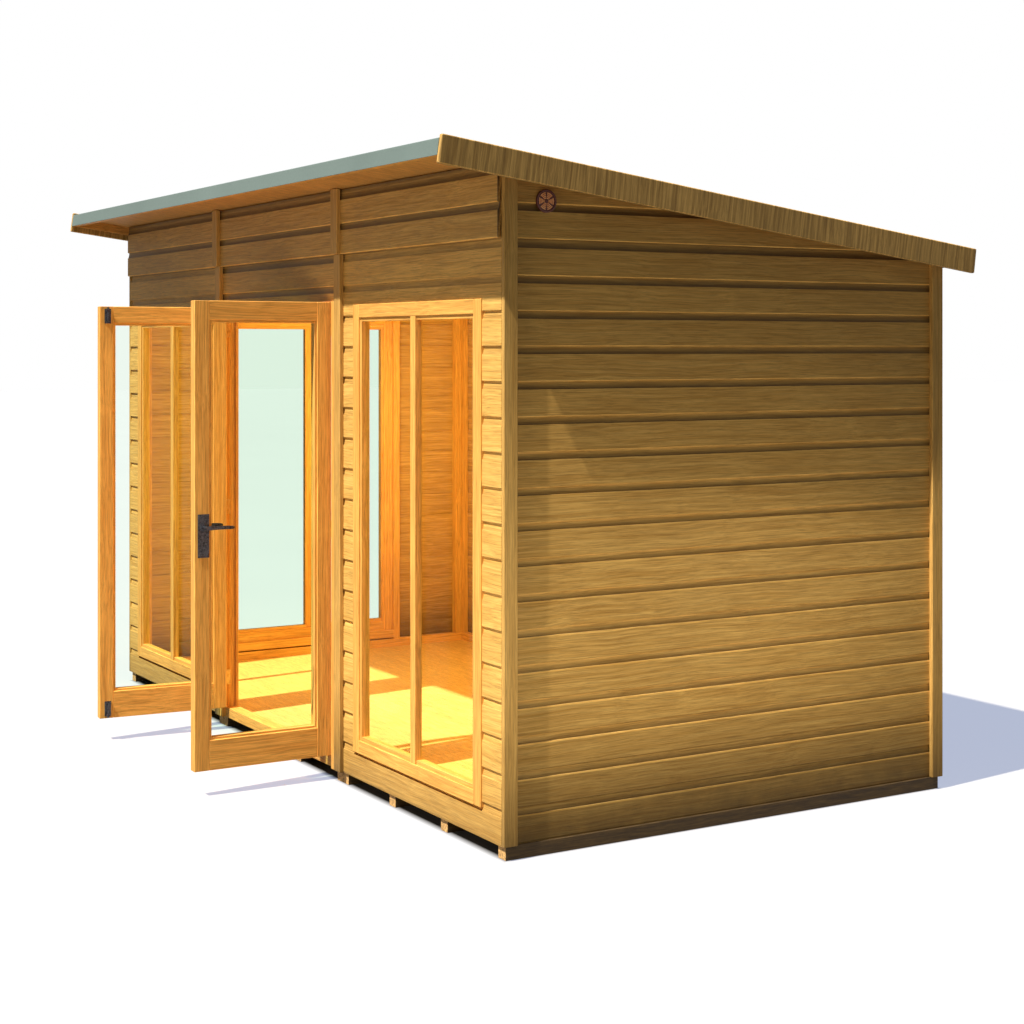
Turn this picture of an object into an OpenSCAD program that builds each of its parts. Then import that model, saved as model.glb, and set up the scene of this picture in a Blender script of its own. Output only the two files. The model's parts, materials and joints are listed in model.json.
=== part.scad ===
// Pent-roofed summerhouse: three front panels, double glazed doors that swing
// outwards, floor-deep windows and a felted roof that falls to the back.
// Millimetres, +Z up. The front faces -Y, and the doors stand open at rest.
// Drawn from the front plane (y = 0) backwards, then moved so that the origin
// is under the middle of the whole.

/* [Walls] */
// Width across the front, over the corner trims
wall_w = 3592; // [3200:2:4200]
// Depth from the front boards to the back boards
wall_d = 1859; // [1600:1:2400]
// Height of the wall panels, cladding foot to top
panel_h = 1912; // [1850:1:2100]
// Thickness of the cladding boards
clad_t = 14; // [10:1:20]
// Depth of the wall framing behind the cladding
stud_d = 41; // [35:1:60]
// Face width of a stud
stud_w = 35; // [28:1:50]
// Studs in the right wall
side_studs = 6; // [4:1:8]
// Studs in each panel of the back wall and the upper front
panel_studs = 4; // [3:1:6]
// Height of the bottom and top rails
rail_h = 39; // [28:1:50]
// Stand-off of the upper front boards in front of the lower ones
upper_proud = 13; // [5:1:14]

/* [Trims] */
// Thickness of the corner trims
trim_t = 18; // [12:1:25]
// Width of the corner trims on the side walls
trim_w = 50; // [40:1:70]
// Width of the strips that cover the panel joints
strip_w = 54; // [40:1:60]
// Thickness of the cover strips
strip_t = 16; // [10:1:22]
// Gap between neighbouring wall panels or floor sections
joint_gap = 2; // [1:0.5:3]

/* [Floor] */
// Height of the joists
joist_h = 45; // [38:1:70]
// Width of the joists
joist_w = 47; // [38:1:60]
// Joists under each floor section
joist_count = 4; // [4:1:6]
// Step in from the corner trims to the outer joists
joist_inset = 12; // [6:1:16]
// Thickness of the floor boards
floor_t = 12; // [10:1:20]

/* [Windows] */
// Width of a window unit
window_w = 940; // [700:1:1000]
// Height of a window unit
window_h = 1626; // [1200:1:1700]
// Height of the window's foot above the ground
window_z = 142; // [142:1:170]
// Face width of the window frame
window_rail = 62; // [45:1:80]
// Face width of the bar between the panes
mullion_w = 36; // [28:1:50]
// Stand-off of the window frame in front of the boards
window_proud = 6; // [3:1:12]
// Depth of the window frame
window_depth = 45; // [40:1:50]
// Middle of a front window, from the outer face of the corner trim
window_inset = 610; // [600:1:640]

/* [Glass] */
// Thickness of the panes
glass_t = 4; // [3:1:6]
// How far a pane reaches into its frame
glass_lap = 8; // [5:1:12]
// Play on each face of a pane in its groove
glass_play = 0.2; // [0.1:0.05:0.3]

/* [Doorway] */
// Face width of the door posts
post_w = 55; // [45:1:70]
// Top of the door sill above the ground
sill_top = 87; // [85:1:100]
// Height of the clear doorway, sill to head
doorway_h = 1699; // [1500:1:1720]
// How far the door stops stand out of the posts
stop_w = 12; // [8:1:16]

/* [Doors] */
// Gap all round each closed leaf
door_gap = 5; // [5:0.5:8]
// Thickness of the leaves
door_t = 40; // [34:1:44]
// Width of the stiles
stile_w = 66; // [60:1:90]
// Height of the top rail
door_top_rail = 78; // [60:1:100]
// Height of the bottom rail
door_foot_rail = 118; // [80:1:200]
// Angle at which the left door stands open at rest
left_rest = 95; // [90:1:100]

/* [Hinges] */
// Height of a hinge
hinge_h = 63; // [50:1:100]
// Width of a hinge leaf
hinge_leaf = 28; // [20:1:34]
// Thickness of a hinge leaf
hinge_t = 2; // [1.5:0.5:2]
// Radius of the hinge knuckles
knuckle_r = 4; // [3.5:0.25:4]
// Radius of the hinge pin
hinge_pin_r = 2; // [1.5:0.25:2.5]
// Set-back of the door's outer face behind the hinge pin
pin_setback = 4.5; // [4.5:0.25:6]
// Stand-off of the hinge pin in front of the wall
pin_proud = 6; // [6:0.5:8]
// Radial play of pins and spindles in their bores
pin_play = 0.05; // [0.02:0.01:0.08]
// Gap between the knuckles
knuckle_gap = 0.5; // [0.3:0.1:1]
// Inset of the lower hinge from the door's foot
hinge_foot = 90; // [60:1:150]
// Inset of the upper hinge from the door's top
hinge_head = 63; // [50:1:150]

/* [Lock] */
// Height of the lock plates
plate_h = 156; // [120:1:200]
// Width of the lock plates
plate_w = 43; // [36:1:50]
// Thickness of the lock plates
plate_t = 4; // [3:0.5:6]
// Middle of the lock plates above the ground
plate_z = 936; // [850:1:1100]
// Height of the lever spindle above the middle of the plates
lever_up = 30; // [20:1:40]
// Radius of the lever spindle
spindle_r = 8; // [6:0.5:9]
// Length of a lever from its spindle
lever_l = 105; // [80:1:120]
// Height of a lever
lever_h = 16; // [12:1:20]
// Thickness of a lever
lever_t = 10; // [8:1:14]
// Clear space between a plate and its lever
lever_clear = 28; // [24:1:40]

/* [Bolts] */
// Height of a bolt's back plate
bolt_plate_h = 60; // [50:1:90]
// Width of a bolt's back plate
bolt_plate_w = 26; // [24:1:36]
// Thickness of a bolt's back plate
bolt_plate_t = 2; // [1.5:0.5:3]
// Radius of a bolt
bolt_r = 4; // [3:0.5:4.5]
// Length of a bolt
bolt_l = 54; // [48:1:80]
// Travel of a bolt
bolt_throw = 20; // [16:1:22]
// Height of each guide on the back plate
guide_h = 9; // [7:1:12]
// Width of the guides
guide_w = 16; // [14:1:20]
// Distance from the back plate to the middle of the bolt
bolt_stand = 5.5; // [5:0.25:6]
// Play between a bolt and the hole that it shoots into
keep_play = 1; // [0.8:0.1:1.5]

/* [Roof] */
// Fall of the roof to the back, in degrees
roof_pitch = 7.37; // [5:0.01:12]
// Overhang of the roof in front, along the slope
roof_front = 264; // [150:1:400]
// Overhang of the roof behind, along the slope
roof_back = 98; // [60:1:200]
// Overhang of the roof past the corner trims at each side
roof_side = 70; // [50:1:120]
// Thickness of the roof boards
roof_t = 15; // [12:1:22]
// Thickness of the felt
felt_t = 3; // [2:0.5:4]
// How far the felt hangs down over the edges
felt_drop = 54; // [40:1:60]
// Thickness of the battens under the roof's edges
edge_batten_t = 20; // [16:1:30]
// Gap between the ends of neighbouring battens
batten_gap = 0.5; // [0.2:0.1:0.8]
// Height of the purlins
purlin_h = 58; // [45:1:90]
// Width of the purlins
purlin_w = 38; // [30:1:50]
// Depth of the bargeboards
barge_h = 90; // [80:1:130]
// Thickness of the bargeboards
barge_t = 18; // [14:1:25]
// Height of the bargeboards above the felt
barge_up = 10; // [4:1:16]

/* [Vent] */
// Diameter of the round vent cover
vent_d = 74; // [60:1:90]
// Thickness of the vent cover
vent_t = 8; // [5:1:12]
// Middle of the vent behind the front boards
vent_y = 163; // [140:1:300]
// Middle of the vent below the roof boards
vent_drop = 99; // [90:1:110]

/* [Hidden] */
$fn = 48;
big = 6000;
cut = 1;                                  // how far a cutter runs past what it cuts

// Walls: planes in x, y and z
side_x = wall_w / 2 - trim_t;             // outer face of the side cladding
side_in = side_x - clad_t;                // its inner face
wall_t = clad_t + stud_d;
joint_x = wall_w / 6;                     // middle of the front's panel joints
panel_z = joist_h;                        // foot of the cladding
panel_top = panel_z + panel_h;
floor_z = joist_h + floor_t;              // top of the floor boards
window_x = wall_w / 2 - window_inset;
upper_back = clad_t - upper_proud;        // inner face of the upper front boards

// Doorway and leaves, as if closed
post_x = joint_x - post_w;                // inner face of the right post
head_z = sill_top + doorway_h;
leaf_w = post_x - 1.5 * door_gap;
leaf_z = sill_top + door_gap;
leaf_h = doorway_h - 2 * door_gap;
pin_x = post_x - door_gap / 2;
pin_y = -pin_proud;
leaf_y = pin_y + pin_setback;             // outer face of a closed leaf
leaf_in = leaf_y + door_t;                // inner face of a closed leaf
leaf_x = post_x - door_gap;               // hinge edge of the right leaf
lead_x = leaf_x - leaf_w;                 // leading edge of the right leaf
hinge_zs = [leaf_z + hinge_foot, leaf_z + (leaf_h - hinge_h) / 2, leaf_z + leaf_h - hinge_head - hinge_h];
lock_x = lead_x + stile_w / 2;
lever_z = plate_z + lever_up;
bolt_x = lead_x + stile_w / 2;            // mirrored on to the left leaf
bolt_y = leaf_in + bolt_plate_t + bolt_stand;
spindle_room = 1;                         // clear round the spindle inside the leaf
case_gap = 10;                            // from a bolt's plate to the leaf's end
guide_wall = 2;                           // metal of a guide outside its bore
knob_r = bolt_r - 1;
knob_out = 8;                             // how far a bolt's knob stands out
bolt_tuck = 3;                            // a drawn bolt ends this far inside the leaf's end

// Roof: s runs down the slope, n stands square to it
under_z = panel_top + wall_d * tan(roof_pitch);
slope_l = wall_d / cos(roof_pitch);
roof_l = roof_front + slope_l + roof_back;
barge_x = wall_w / 2 + roof_side;         // outer face of a bargeboard
roof_w = 2 * (barge_x - barge_t);
batten_h = felt_drop - roof_t - felt_t;
barge_top = roof_t + felt_t + barge_up;
purlin_ss = [slope_l / 3, 2 * slope_l / 3];

// Middle of the whole, front to back
right_rest = 90;                          // the right door stands square to the front
function leaf_reach(angle) = (leaf_w + door_gap / 2) * sin(angle) - (pin_setback + door_t) * cos(angle);
front_y = pin_y - max(leaf_reach(right_rest), leaf_reach(left_rest));
back_y = (roof_l - roof_front) * cos(roof_pitch) + barge_top * sin(roof_pitch);
origin_y = (front_y + back_y) / 2;

// Moves the whole so that the origin is under its middle
module place() { translate([0, -origin_y, 0]) children(); }

// A block from its low corner to its high corner
module block(low, high) { translate(low) cube(high - low); }

// A block mirrored left and right
module both() { children(); mirror([1, 0, 0]) children(); }

// What lies under the plane of the roof boards' lower face
module below_roof(gap = 0) {
  intersection() {
    children();
    translate([0, 0, under_z]) rotate([-roof_pitch, 0, 0])
      translate([-big / 2, -big / 2, -big - gap]) cube(big);
  }
}

// Puts x, s and n of the roof in place
module on_slope() { translate([0, 0, under_z]) rotate([-roof_pitch, 0, 0]) children(); }

// Puts a piece drawn for the front wall on the left wall, about the wall's middle
module on_left_wall() { translate([-side_x, wall_d / 2, 0]) rotate([0, 0, -90]) children(); }

// Turns the right leaf about its pin, from closed
module opened(angle) {
  translate([pin_x, pin_y, 0]) rotate([0, 0, angle]) translate([-pin_x, -pin_y, 0]) children();
}
module right_leaf_at_rest() { opened(right_rest) children(); }
module left_leaf_at_rest() { mirror([1, 0, 0]) opened(left_rest) children(); }

// Studs of the given middles between a bottom and a top rail
module framing(x0, x1, z0, z1, studs) {
  block([x0, clad_t, z0], [x1, wall_t, z0 + rail_h]);
  block([x0, clad_t, z1 - rail_h], [x1, wall_t, z1]);
  for (x = studs) block([x - stud_w / 2, clad_t, z0], [x + stud_w / 2, wall_t, z1]);
}

// Evenly spread stud middles, the outer ones flush with the ends
function spread(x0, x1, count) =
  [for (i = [0 : count - 1]) x0 + stud_w / 2 + i * (x1 - x0 - stud_w) / (count - 1)];

// Framing with a window's opening about xm
module window_framing(x0, x1, xm) {
  side = window_w / 2 + stud_w / 2;
  framing(x0, x1, floor_z, panel_top, [x0 + stud_w / 2, xm - side, xm + side, x1 - stud_w / 2]);
  block([xm - side, clad_t, window_z - rail_h], [xm + side, wall_t, window_z]);
  block([xm - side, clad_t, window_z + window_h], [xm + side, wall_t, window_z + window_h + rail_h]);
}

// A cladding panel with a window's opening about xm
module window_cladding(x0, x1, xm) {
  difference() {
    block([x0, 0, panel_z], [x1, clad_t, panel_top]);
    block([xm - window_w / 2, -cut, window_z], [xm + window_w / 2, clad_t + cut, window_z + window_h]);
  }
}

// A frame with openings, grooved for panes: list of [x0, x1] and one z range
module glazed_frame(x0, x1, z0, z1, y0, depth, panes, pane_z, pane_y) {
  difference() {
    block([x0, y0, z0], [x1, y0 + depth, z1]);
    for (p = panes) {
      block([p[0], y0 - cut, pane_z[0]], [p[1], y0 + depth + cut, pane_z[1]]);
      block([p[0] - glass_lap, pane_y - glass_play, pane_z[0] - glass_lap],
            [p[1] + glass_lap, pane_y + glass_t + glass_play, pane_z[1] + glass_lap]);
    }
  }
}

// The panes of a grooved frame, standing on the foot of the groove
module panes(panes, pane_z, pane_y) {
  edge = glass_lap - glass_play;
  for (p = panes)
    block([p[0] - edge, pane_y, pane_z[0] - glass_lap], [p[1] + edge, pane_y + glass_t, pane_z[1] + edge]);
}

// Window unit about x = 0 in the front wall
window_panes = [[-window_w / 2 + window_rail, -mullion_w / 2], [mullion_w / 2, window_w / 2 - window_rail]];
window_pane_z = [window_z + window_rail, window_z + window_h - window_rail];
window_pane_y = window_depth / 2 - window_proud - glass_t / 2;
module window_unit() {
  glazed_frame(-window_w / 2, window_w / 2, window_z, window_z + window_h, -window_proud, window_depth,
               window_panes, window_pane_z, window_pane_y);
}
module window_panes() { panes(window_panes, window_pane_z, window_pane_y); }

// ---- Floor ----
section_w = (wall_w - 2 * joist_inset - 2 * joint_gap) / 3;
section_xs = [for (i = [0 : 2]) -wall_w / 2 + joist_inset + i * (section_w + joint_gap)];

module floor_joists() {
  color("tan") place()
    for (x = section_xs, i = [0 : joist_count - 1])
      translate([x + i * (section_w - joist_w) / (joist_count - 1), joist_inset, 0])
        cube([joist_w, wall_d - 2 * joist_inset, joist_h]);
}

module floor_boards() {
  color("burlywood") place() intersection() {
    for (x = section_xs) block([x, clad_t, joist_h], [x + section_w, wall_d - clad_t, floor_z]);
    block([-side_in, 0, 0], [side_in, wall_d, big]);
  }
}

// ---- Side and back walls ----
module side_cladding() { block([side_in, clad_t, panel_z], [side_x, wall_d - clad_t, panel_top]); }

module right_wall_cladding() { color("peru") place() side_cladding(); }

module left_wall_cladding() {
  color("peru") place() on_left_wall()
    window_cladding(-wall_d / 2 + clad_t, wall_d / 2 - clad_t, 0);
}

module back_wall_cladding() {
  color("peru") place()
    for (x = [-side_x, -joint_x + joint_gap / 2, joint_x + joint_gap / 2])
      block([x, wall_d - clad_t, panel_z],
            [x < 0 && x > -side_x ? joint_x - joint_gap / 2 : (x < 0 ? -joint_x - joint_gap / 2 : side_x),
             wall_d, panel_top]);
}

module gable_cladding() {
  color("peru") place() both() below_roof()
    block([side_in, upper_back, panel_top], [side_x, wall_d, under_z]);
}

side_len = wall_d / 2 - wall_t;
module right_wall_frame() {
  color("burlywood") place() mirror([1, 0, 0]) on_left_wall()
    framing(-side_len, side_len, floor_z, panel_top, spread(-side_len, side_len, side_studs));
}

module left_wall_frame() {
  color("burlywood") place() on_left_wall() window_framing(-side_len, side_len, 0);
}

module back_wall_frame() {
  color("burlywood") place() translate([0, wall_d, 0]) mirror([0, 1, 0]) {
    framing(-joint_x + joint_gap / 2, joint_x - joint_gap / 2, floor_z, panel_top,
            spread(-joint_x + joint_gap / 2, joint_x - joint_gap / 2, panel_studs));
    both() framing(joint_x + joint_gap / 2, side_in, floor_z, panel_top,
                   spread(joint_x + joint_gap / 2, side_in, panel_studs));
  }
}

// Foot rail, front post and sloping top rail of each gable
gable_end = (under_z - panel_top - 2 * rail_h) / tan(roof_pitch);
module gable_frames() {
  color("burlywood") place() both() difference() {
    below_roof() block([side_in - stud_d, wall_t, panel_top], [side_in, gable_end, under_z]);
    below_roof(rail_h) block([side_in - stud_d - cut, wall_t + stud_w, panel_top + rail_h],
                             [side_in + cut, gable_end, under_z]);
  }
}

// ---- Front wall ----
module front_outer_cladding() { window_cladding(joint_x + joint_gap / 2, side_x, window_x); }
module front_cladding_right() { color("goldenrod") place() front_outer_cladding(); }
module front_cladding_left() { color("goldenrod") place() mirror([1, 0, 0]) front_outer_cladding(); }

module door_head_cladding() {
  color("goldenrod") place()
    block([-joint_x + joint_gap / 2, 0, head_z], [joint_x - joint_gap / 2, clad_t, panel_top]);
}

module front_frames() {
  color("burlywood") place() both() window_framing(joint_x + joint_gap / 2, side_in, window_x);
}

upper_edges = [-side_x, -joint_x, joint_x, side_x];
module upper_front_cladding() {
  color("goldenrod") place() below_roof() for (i = [0 : 2])
    block([upper_edges[i] + (i > 0 ? joint_gap / 2 : 0), -upper_proud, panel_top],
          [upper_edges[i + 1] - (i < 2 ? joint_gap / 2 : 0), upper_back, big]);
}

module upper_front_frame() {
  top = under_z - wall_t * tan(roof_pitch);
  color("burlywood") place() translate([0, -upper_proud, 0]) {
    framing(-joint_x + joint_gap / 2, joint_x - joint_gap / 2, panel_top, top,
            spread(-joint_x + joint_gap / 2, joint_x - joint_gap / 2, panel_studs));
    both() framing(joint_x + joint_gap / 2, side_in, panel_top, top,
                   spread(joint_x + joint_gap / 2, side_in, panel_studs));
  }
}

// Hole that the bolt of the closed left leaf shoots into
module bolt_keep(z0, z1) { translate([-bolt_x, bolt_y, z0]) cylinder(r = bolt_r + keep_play, h = z1 - z0); }

module door_frame() {
  color("goldenrod") place() difference() {
    union() {
      both() {
        block([post_x, 0, panel_z], [joint_x - joint_gap / 2, clad_t, head_z]);
        block([post_x, clad_t, floor_z], [joint_x - joint_gap / 2, wall_t, panel_top]);
        block([post_x - stop_w, leaf_in + door_gap, sill_top], [post_x, wall_t, head_z]);
      }
      block([-post_x, clad_t, head_z], [post_x, wall_t, head_z + rail_h]);
      block([-post_x, clad_t, panel_top - rail_h], [post_x, wall_t, panel_top]);
    }
    bolt_keep(head_z - cut, head_z + bolt_throw);
  }
}

module door_sill() {
  color("goldenrod") place() difference() {
    union() {
      block([-post_x, 0, panel_z], [post_x, clad_t, sill_top]);
      block([-post_x, clad_t, floor_z], [post_x, wall_t, sill_top]);
    }
    bolt_keep(sill_top - bolt_throw, sill_top + cut);
  }
}

// ---- Trims and strips ----
module corner_trims_right() {
  color("sienna") place() below_roof() {
    block([side_x, 0, panel_z], [wall_w / 2, trim_w, big]);
    block([side_x, wall_d - trim_w, panel_z], [wall_w / 2, wall_d, big]);
  }
}
module corner_trims_left() { mirror([1, 0, 0]) corner_trims_right(); }

module front_cover_strips() {
  color("goldenrod") place() both() below_roof() {
    block([joint_x - strip_w / 2, -strip_t, panel_z], [joint_x + strip_w / 2, 0, panel_top - joint_gap / 2]);
    block([joint_x - strip_w / 2, -upper_proud - strip_t, panel_top + joint_gap / 2],
          [joint_x + strip_w / 2, -upper_proud, big]);
  }
}

module back_cover_strips() {
  color("sienna") place() both() below_roof()
    block([joint_x - strip_w / 2, wall_d, panel_z], [joint_x + strip_w / 2, wall_d + strip_t, big]);
}

// ---- Windows ----
module window_frame_right() { color("orange") place() translate([window_x, 0, 0]) window_unit(); }
module window_frame_left() { color("orange") place() translate([-window_x, 0, 0]) window_unit(); }
module window_frame_side() { color("orange") place() on_left_wall() window_unit(); }
module window_glass() {
  color("lightcyan") place() {
    for (x = [-window_x, window_x]) translate([x, 0, 0]) window_panes();
    on_left_wall() window_panes();
  }
}

// ---- Roof ----
module roof_boards() {
  color("burlywood") place() on_slope()
    block([-roof_w / 2, -roof_front + felt_t, 0], [roof_w / 2, roof_l - roof_front - felt_t, roof_t]);
}

// Felt over the boards, turned down in front and behind
module roof_felt() {
  low = -batten_h;
  high = roof_t + felt_t;
  color("slategray") place() on_slope() difference() {
    block([-roof_w / 2, -roof_front, low], [roof_w / 2, roof_l - roof_front, high]);
    block([-roof_w, -roof_front + felt_t, low - cut], [roof_w, roof_l - roof_front - felt_t, roof_t]);
  }
}

module roof_purlins() {
  color("burlywood") place() on_slope()
    for (s = purlin_ss)
      block([-side_in + stud_d, s - purlin_w / 2, -purlin_h], [side_in - stud_d, s + purlin_w / 2, 0]);
}

// Battens under the roof's front and back edges, and along its sides
module roof_battens() {
  s0 = -roof_front + felt_t;
  s1 = roof_l - roof_front - felt_t;
  color("goldenrod") place() on_slope() {
    block([-roof_w / 2, s0, -batten_h], [roof_w / 2, s0 + edge_batten_t, 0]);
    block([-roof_w / 2, s1 - edge_batten_t, -batten_h], [roof_w / 2, s1, 0]);
    both() block([roof_w / 2 - edge_batten_t, s0 + edge_batten_t + batten_gap, -batten_h],
                 [roof_w / 2, s1 - edge_batten_t - batten_gap, 0]);
  }
}

module bargeboard_right() {
  color("sienna") place() on_slope()
    block([barge_x - barge_t, -roof_front, barge_top - barge_h], [barge_x, roof_l - roof_front, barge_top]);
}
module bargeboard_left() { mirror([1, 0, 0]) bargeboard_right(); }

module vent_cover() {
  color("chocolate") place()
    translate([side_x, vent_y, under_z - vent_y * tan(roof_pitch) - vent_drop])
      rotate([0, 90, 0]) cylinder(d = vent_d, h = vent_t);
}

// ---- Hinges, drawn on the closed right leaf ----
third = (hinge_h - 2 * knuckle_gap) / 3;
reach = knuckle_r + 2;                    // from the pin to the straight part of a leaf
neck_lap = 1;                             // how far a leaf's neck runs into its straight part

// Two knuckles, the pin and the leaf on the post
module frame_leaf() {
  translate([pin_x, pin_y, 0]) {
    cylinder(r = knuckle_r, h = third);
    translate([0, 0, hinge_h - third]) cylinder(r = knuckle_r, h = third);
    cylinder(r = hinge_pin_r, h = hinge_h);
  }
  block([post_x - hinge_t, pin_y + reach, 0], [post_x, pin_y + hinge_leaf, hinge_h]);
  for (z = [0, hinge_h - third])
    block([post_x - hinge_t, pin_y, z], [post_x, pin_y + reach + neck_lap, z + third]);
}

// The middle knuckle and the leaf on the door's edge
module door_leaf() {
  difference() {
    union() {
      translate([pin_x, pin_y, third + knuckle_gap]) cylinder(r = knuckle_r, h = third);
      block([leaf_x, pin_y + reach, 0], [leaf_x + hinge_t, pin_y + hinge_leaf, hinge_h]);
      block([leaf_x, pin_y, third + knuckle_gap],
            [leaf_x + hinge_t, pin_y + reach + neck_lap, 2 * third + knuckle_gap]);
    }
    translate([pin_x, pin_y, -cut]) cylinder(r = hinge_pin_r + pin_play, h = hinge_h + 2 * cut);
  }
}

module frame_hinge_leaves() {
  color("khaki") place() both() for (z = hinge_zs) translate([0, 0, z]) frame_leaf();
}
module door_hinges() { for (z = hinge_zs) translate([0, 0, z]) door_leaf(); }
module right_door_hinges() { color("khaki") place() right_leaf_at_rest() door_hinges(); }
module left_door_hinges() { color("khaki") place() left_leaf_at_rest() door_hinges(); }

// ---- Leaves, drawn closed in the right half ----
leaf_panes = [[lead_x + stile_w, leaf_x - stile_w]];
leaf_pane_z = [leaf_z + door_foot_rail, leaf_z + leaf_h - door_top_rail];
leaf_pane_y = leaf_y + door_t / 2 - glass_t / 2;

module leaf_frame() {
  glazed_frame(lead_x, leaf_x, leaf_z, leaf_z + leaf_h, leaf_y, door_t, leaf_panes, leaf_pane_z, leaf_pane_y);
}

module right_door_frame() {
  color("darkorange") place() right_leaf_at_rest() difference() {
    leaf_frame();
    translate([lock_x, leaf_y - cut, lever_z]) rotate([-90, 0, 0])
      cylinder(r = spindle_r + spindle_room, h = door_t + 2 * cut);
  }
}
module left_door_frame() { color("darkorange") place() left_leaf_at_rest() leaf_frame(); }
module leaf_glass() { color("lightcyan") panes(leaf_panes, leaf_pane_z, leaf_pane_y); }
module right_door_glass() { place() right_leaf_at_rest() leaf_glass(); }
module left_door_glass() { place() left_leaf_at_rest() leaf_glass(); }

// ---- Lock on the right leaf ----
module lock_plates() {
  color("dimgray") place() right_leaf_at_rest() difference() {
    for (y = [leaf_y - plate_t, leaf_in])
      block([lock_x - plate_w / 2, y, plate_z - plate_h / 2],
            [lock_x + plate_w / 2, y + plate_t, plate_z + plate_h / 2]);
    translate([lock_x, leaf_y - plate_t - cut, lever_z]) rotate([-90, 0, 0])
      cylinder(r = spindle_r + pin_play, h = door_t + 2 * (plate_t + cut));
  }
}

// Spindle through the leaf, with a lever on each end that points to the hinges
module lever_handles() {
  out = plate_t + lever_clear;
  color("dimgray") place() right_leaf_at_rest() translate([lock_x, 0, lever_z]) {
    translate([0, leaf_y - out, 0]) rotate([-90, 0, 0]) cylinder(r = spindle_r, h = door_t + 2 * out);
    for (y = [leaf_y - out - lever_t, leaf_in + out]) {
      translate([0, y, 0]) rotate([-90, 0, 0]) cylinder(r = spindle_r, h = lever_t);
      block([0, y, -lever_h / 2], [lever_l, y + lever_t, lever_h / 2]);
    }
  }
}

// ---- Bolts on the inner face of the left leaf, drawn in the right half ----
// A back plate and two guides, standing at z
module bolt_case(z) {
  guide_out = bolt_plate_t + bolt_stand + bolt_r + guide_wall;
  translate([bolt_x, leaf_in, z]) difference() {
    union() {
      block([-bolt_plate_w / 2, 0, 0], [bolt_plate_w / 2, bolt_plate_t, bolt_plate_h]);
      for (g = [0, bolt_plate_h - guide_h])
        block([-guide_w / 2, 0, g], [guide_w / 2, guide_out, g + guide_h]);
    }
    translate([0, bolt_y - leaf_in, -cut]) cylinder(r = bolt_r + pin_play, h = bolt_plate_h + 2 * cut);
  }
}

// A bolt from z upwards, with its knob at the height knob
module bolt(z, knob) {
  translate([bolt_x, bolt_y, z]) cylinder(r = bolt_r, h = bolt_l);
  translate([bolt_x, bolt_y, knob]) rotate([-90, 0, 0]) cylinder(r = knob_r, h = bolt_r + knob_out);
}

top_case_z = leaf_z + leaf_h - case_gap - bolt_plate_h;
foot_case_z = leaf_z + case_gap;
module bolt_cases() {
  color("dimgray") place() left_leaf_at_rest() for (z = [top_case_z, foot_case_z]) bolt_case(z);
}
module top_bolt() {
  color("gray") place() left_leaf_at_rest()
    bolt(leaf_z + leaf_h - bolt_tuck - bolt_l, top_case_z + guide_h + bolt_r);
}
module bottom_bolt() {
  color("gray") place() left_leaf_at_rest()
    bolt(leaf_z + bolt_tuck, foot_case_z + bolt_plate_h - guide_h - bolt_r);
}

floor_joists();
floor_boards();
right_wall_cladding();
left_wall_cladding();
back_wall_cladding();
gable_cladding();
right_wall_frame();
left_wall_frame();
back_wall_frame();
gable_frames();
front_cladding_left();
front_cladding_right();
door_head_cladding();
front_frames();
upper_front_cladding();
upper_front_frame();
door_frame();
door_sill();
corner_trims_left();
corner_trims_right();
front_cover_strips();
back_cover_strips();
window_frame_left();
window_frame_right();
window_frame_side();
window_glass();
roof_boards();
roof_felt();
roof_purlins();
roof_battens();
bargeboard_left();
bargeboard_right();
vent_cover();
frame_hinge_leaves();
left_door_frame();
left_door_glass();
left_door_hinges();
bolt_cases();
top_bolt();
bottom_bolt();
right_door_frame();
right_door_glass();
right_door_hinges();
lock_plates();
lever_handles();
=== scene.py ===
"""Pent-roofed timber summerhouse: the looks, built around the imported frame.

Lengths are metres in the frame's own axes: +X along the front, -Y out of the doorway, +Z up.
"""
import json
import logging
import math
from dataclasses import dataclass, field
from enum import Enum
from typing import Callable, Iterable, Optional

import bpy
import numpy as np
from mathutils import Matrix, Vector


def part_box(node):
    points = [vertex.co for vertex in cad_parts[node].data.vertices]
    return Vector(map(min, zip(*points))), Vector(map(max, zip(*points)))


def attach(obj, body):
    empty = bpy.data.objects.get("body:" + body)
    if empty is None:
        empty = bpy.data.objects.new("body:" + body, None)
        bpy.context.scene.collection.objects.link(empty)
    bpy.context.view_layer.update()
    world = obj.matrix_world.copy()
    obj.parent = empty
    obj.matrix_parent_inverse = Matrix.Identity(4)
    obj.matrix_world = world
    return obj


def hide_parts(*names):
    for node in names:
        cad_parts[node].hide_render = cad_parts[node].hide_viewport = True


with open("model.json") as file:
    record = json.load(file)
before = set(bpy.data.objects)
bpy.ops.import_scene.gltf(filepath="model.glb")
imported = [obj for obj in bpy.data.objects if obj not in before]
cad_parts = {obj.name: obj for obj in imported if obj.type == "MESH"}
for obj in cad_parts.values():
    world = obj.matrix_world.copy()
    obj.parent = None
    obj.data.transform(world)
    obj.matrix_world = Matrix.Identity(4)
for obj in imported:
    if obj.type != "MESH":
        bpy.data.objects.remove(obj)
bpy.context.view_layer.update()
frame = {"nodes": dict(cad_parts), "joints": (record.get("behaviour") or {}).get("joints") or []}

LOG = logging.getLogger("summerhouse")
RNG = np.random.default_rng(12)
X, Y, Z = np.eye(3)
MM = 0.001


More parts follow.
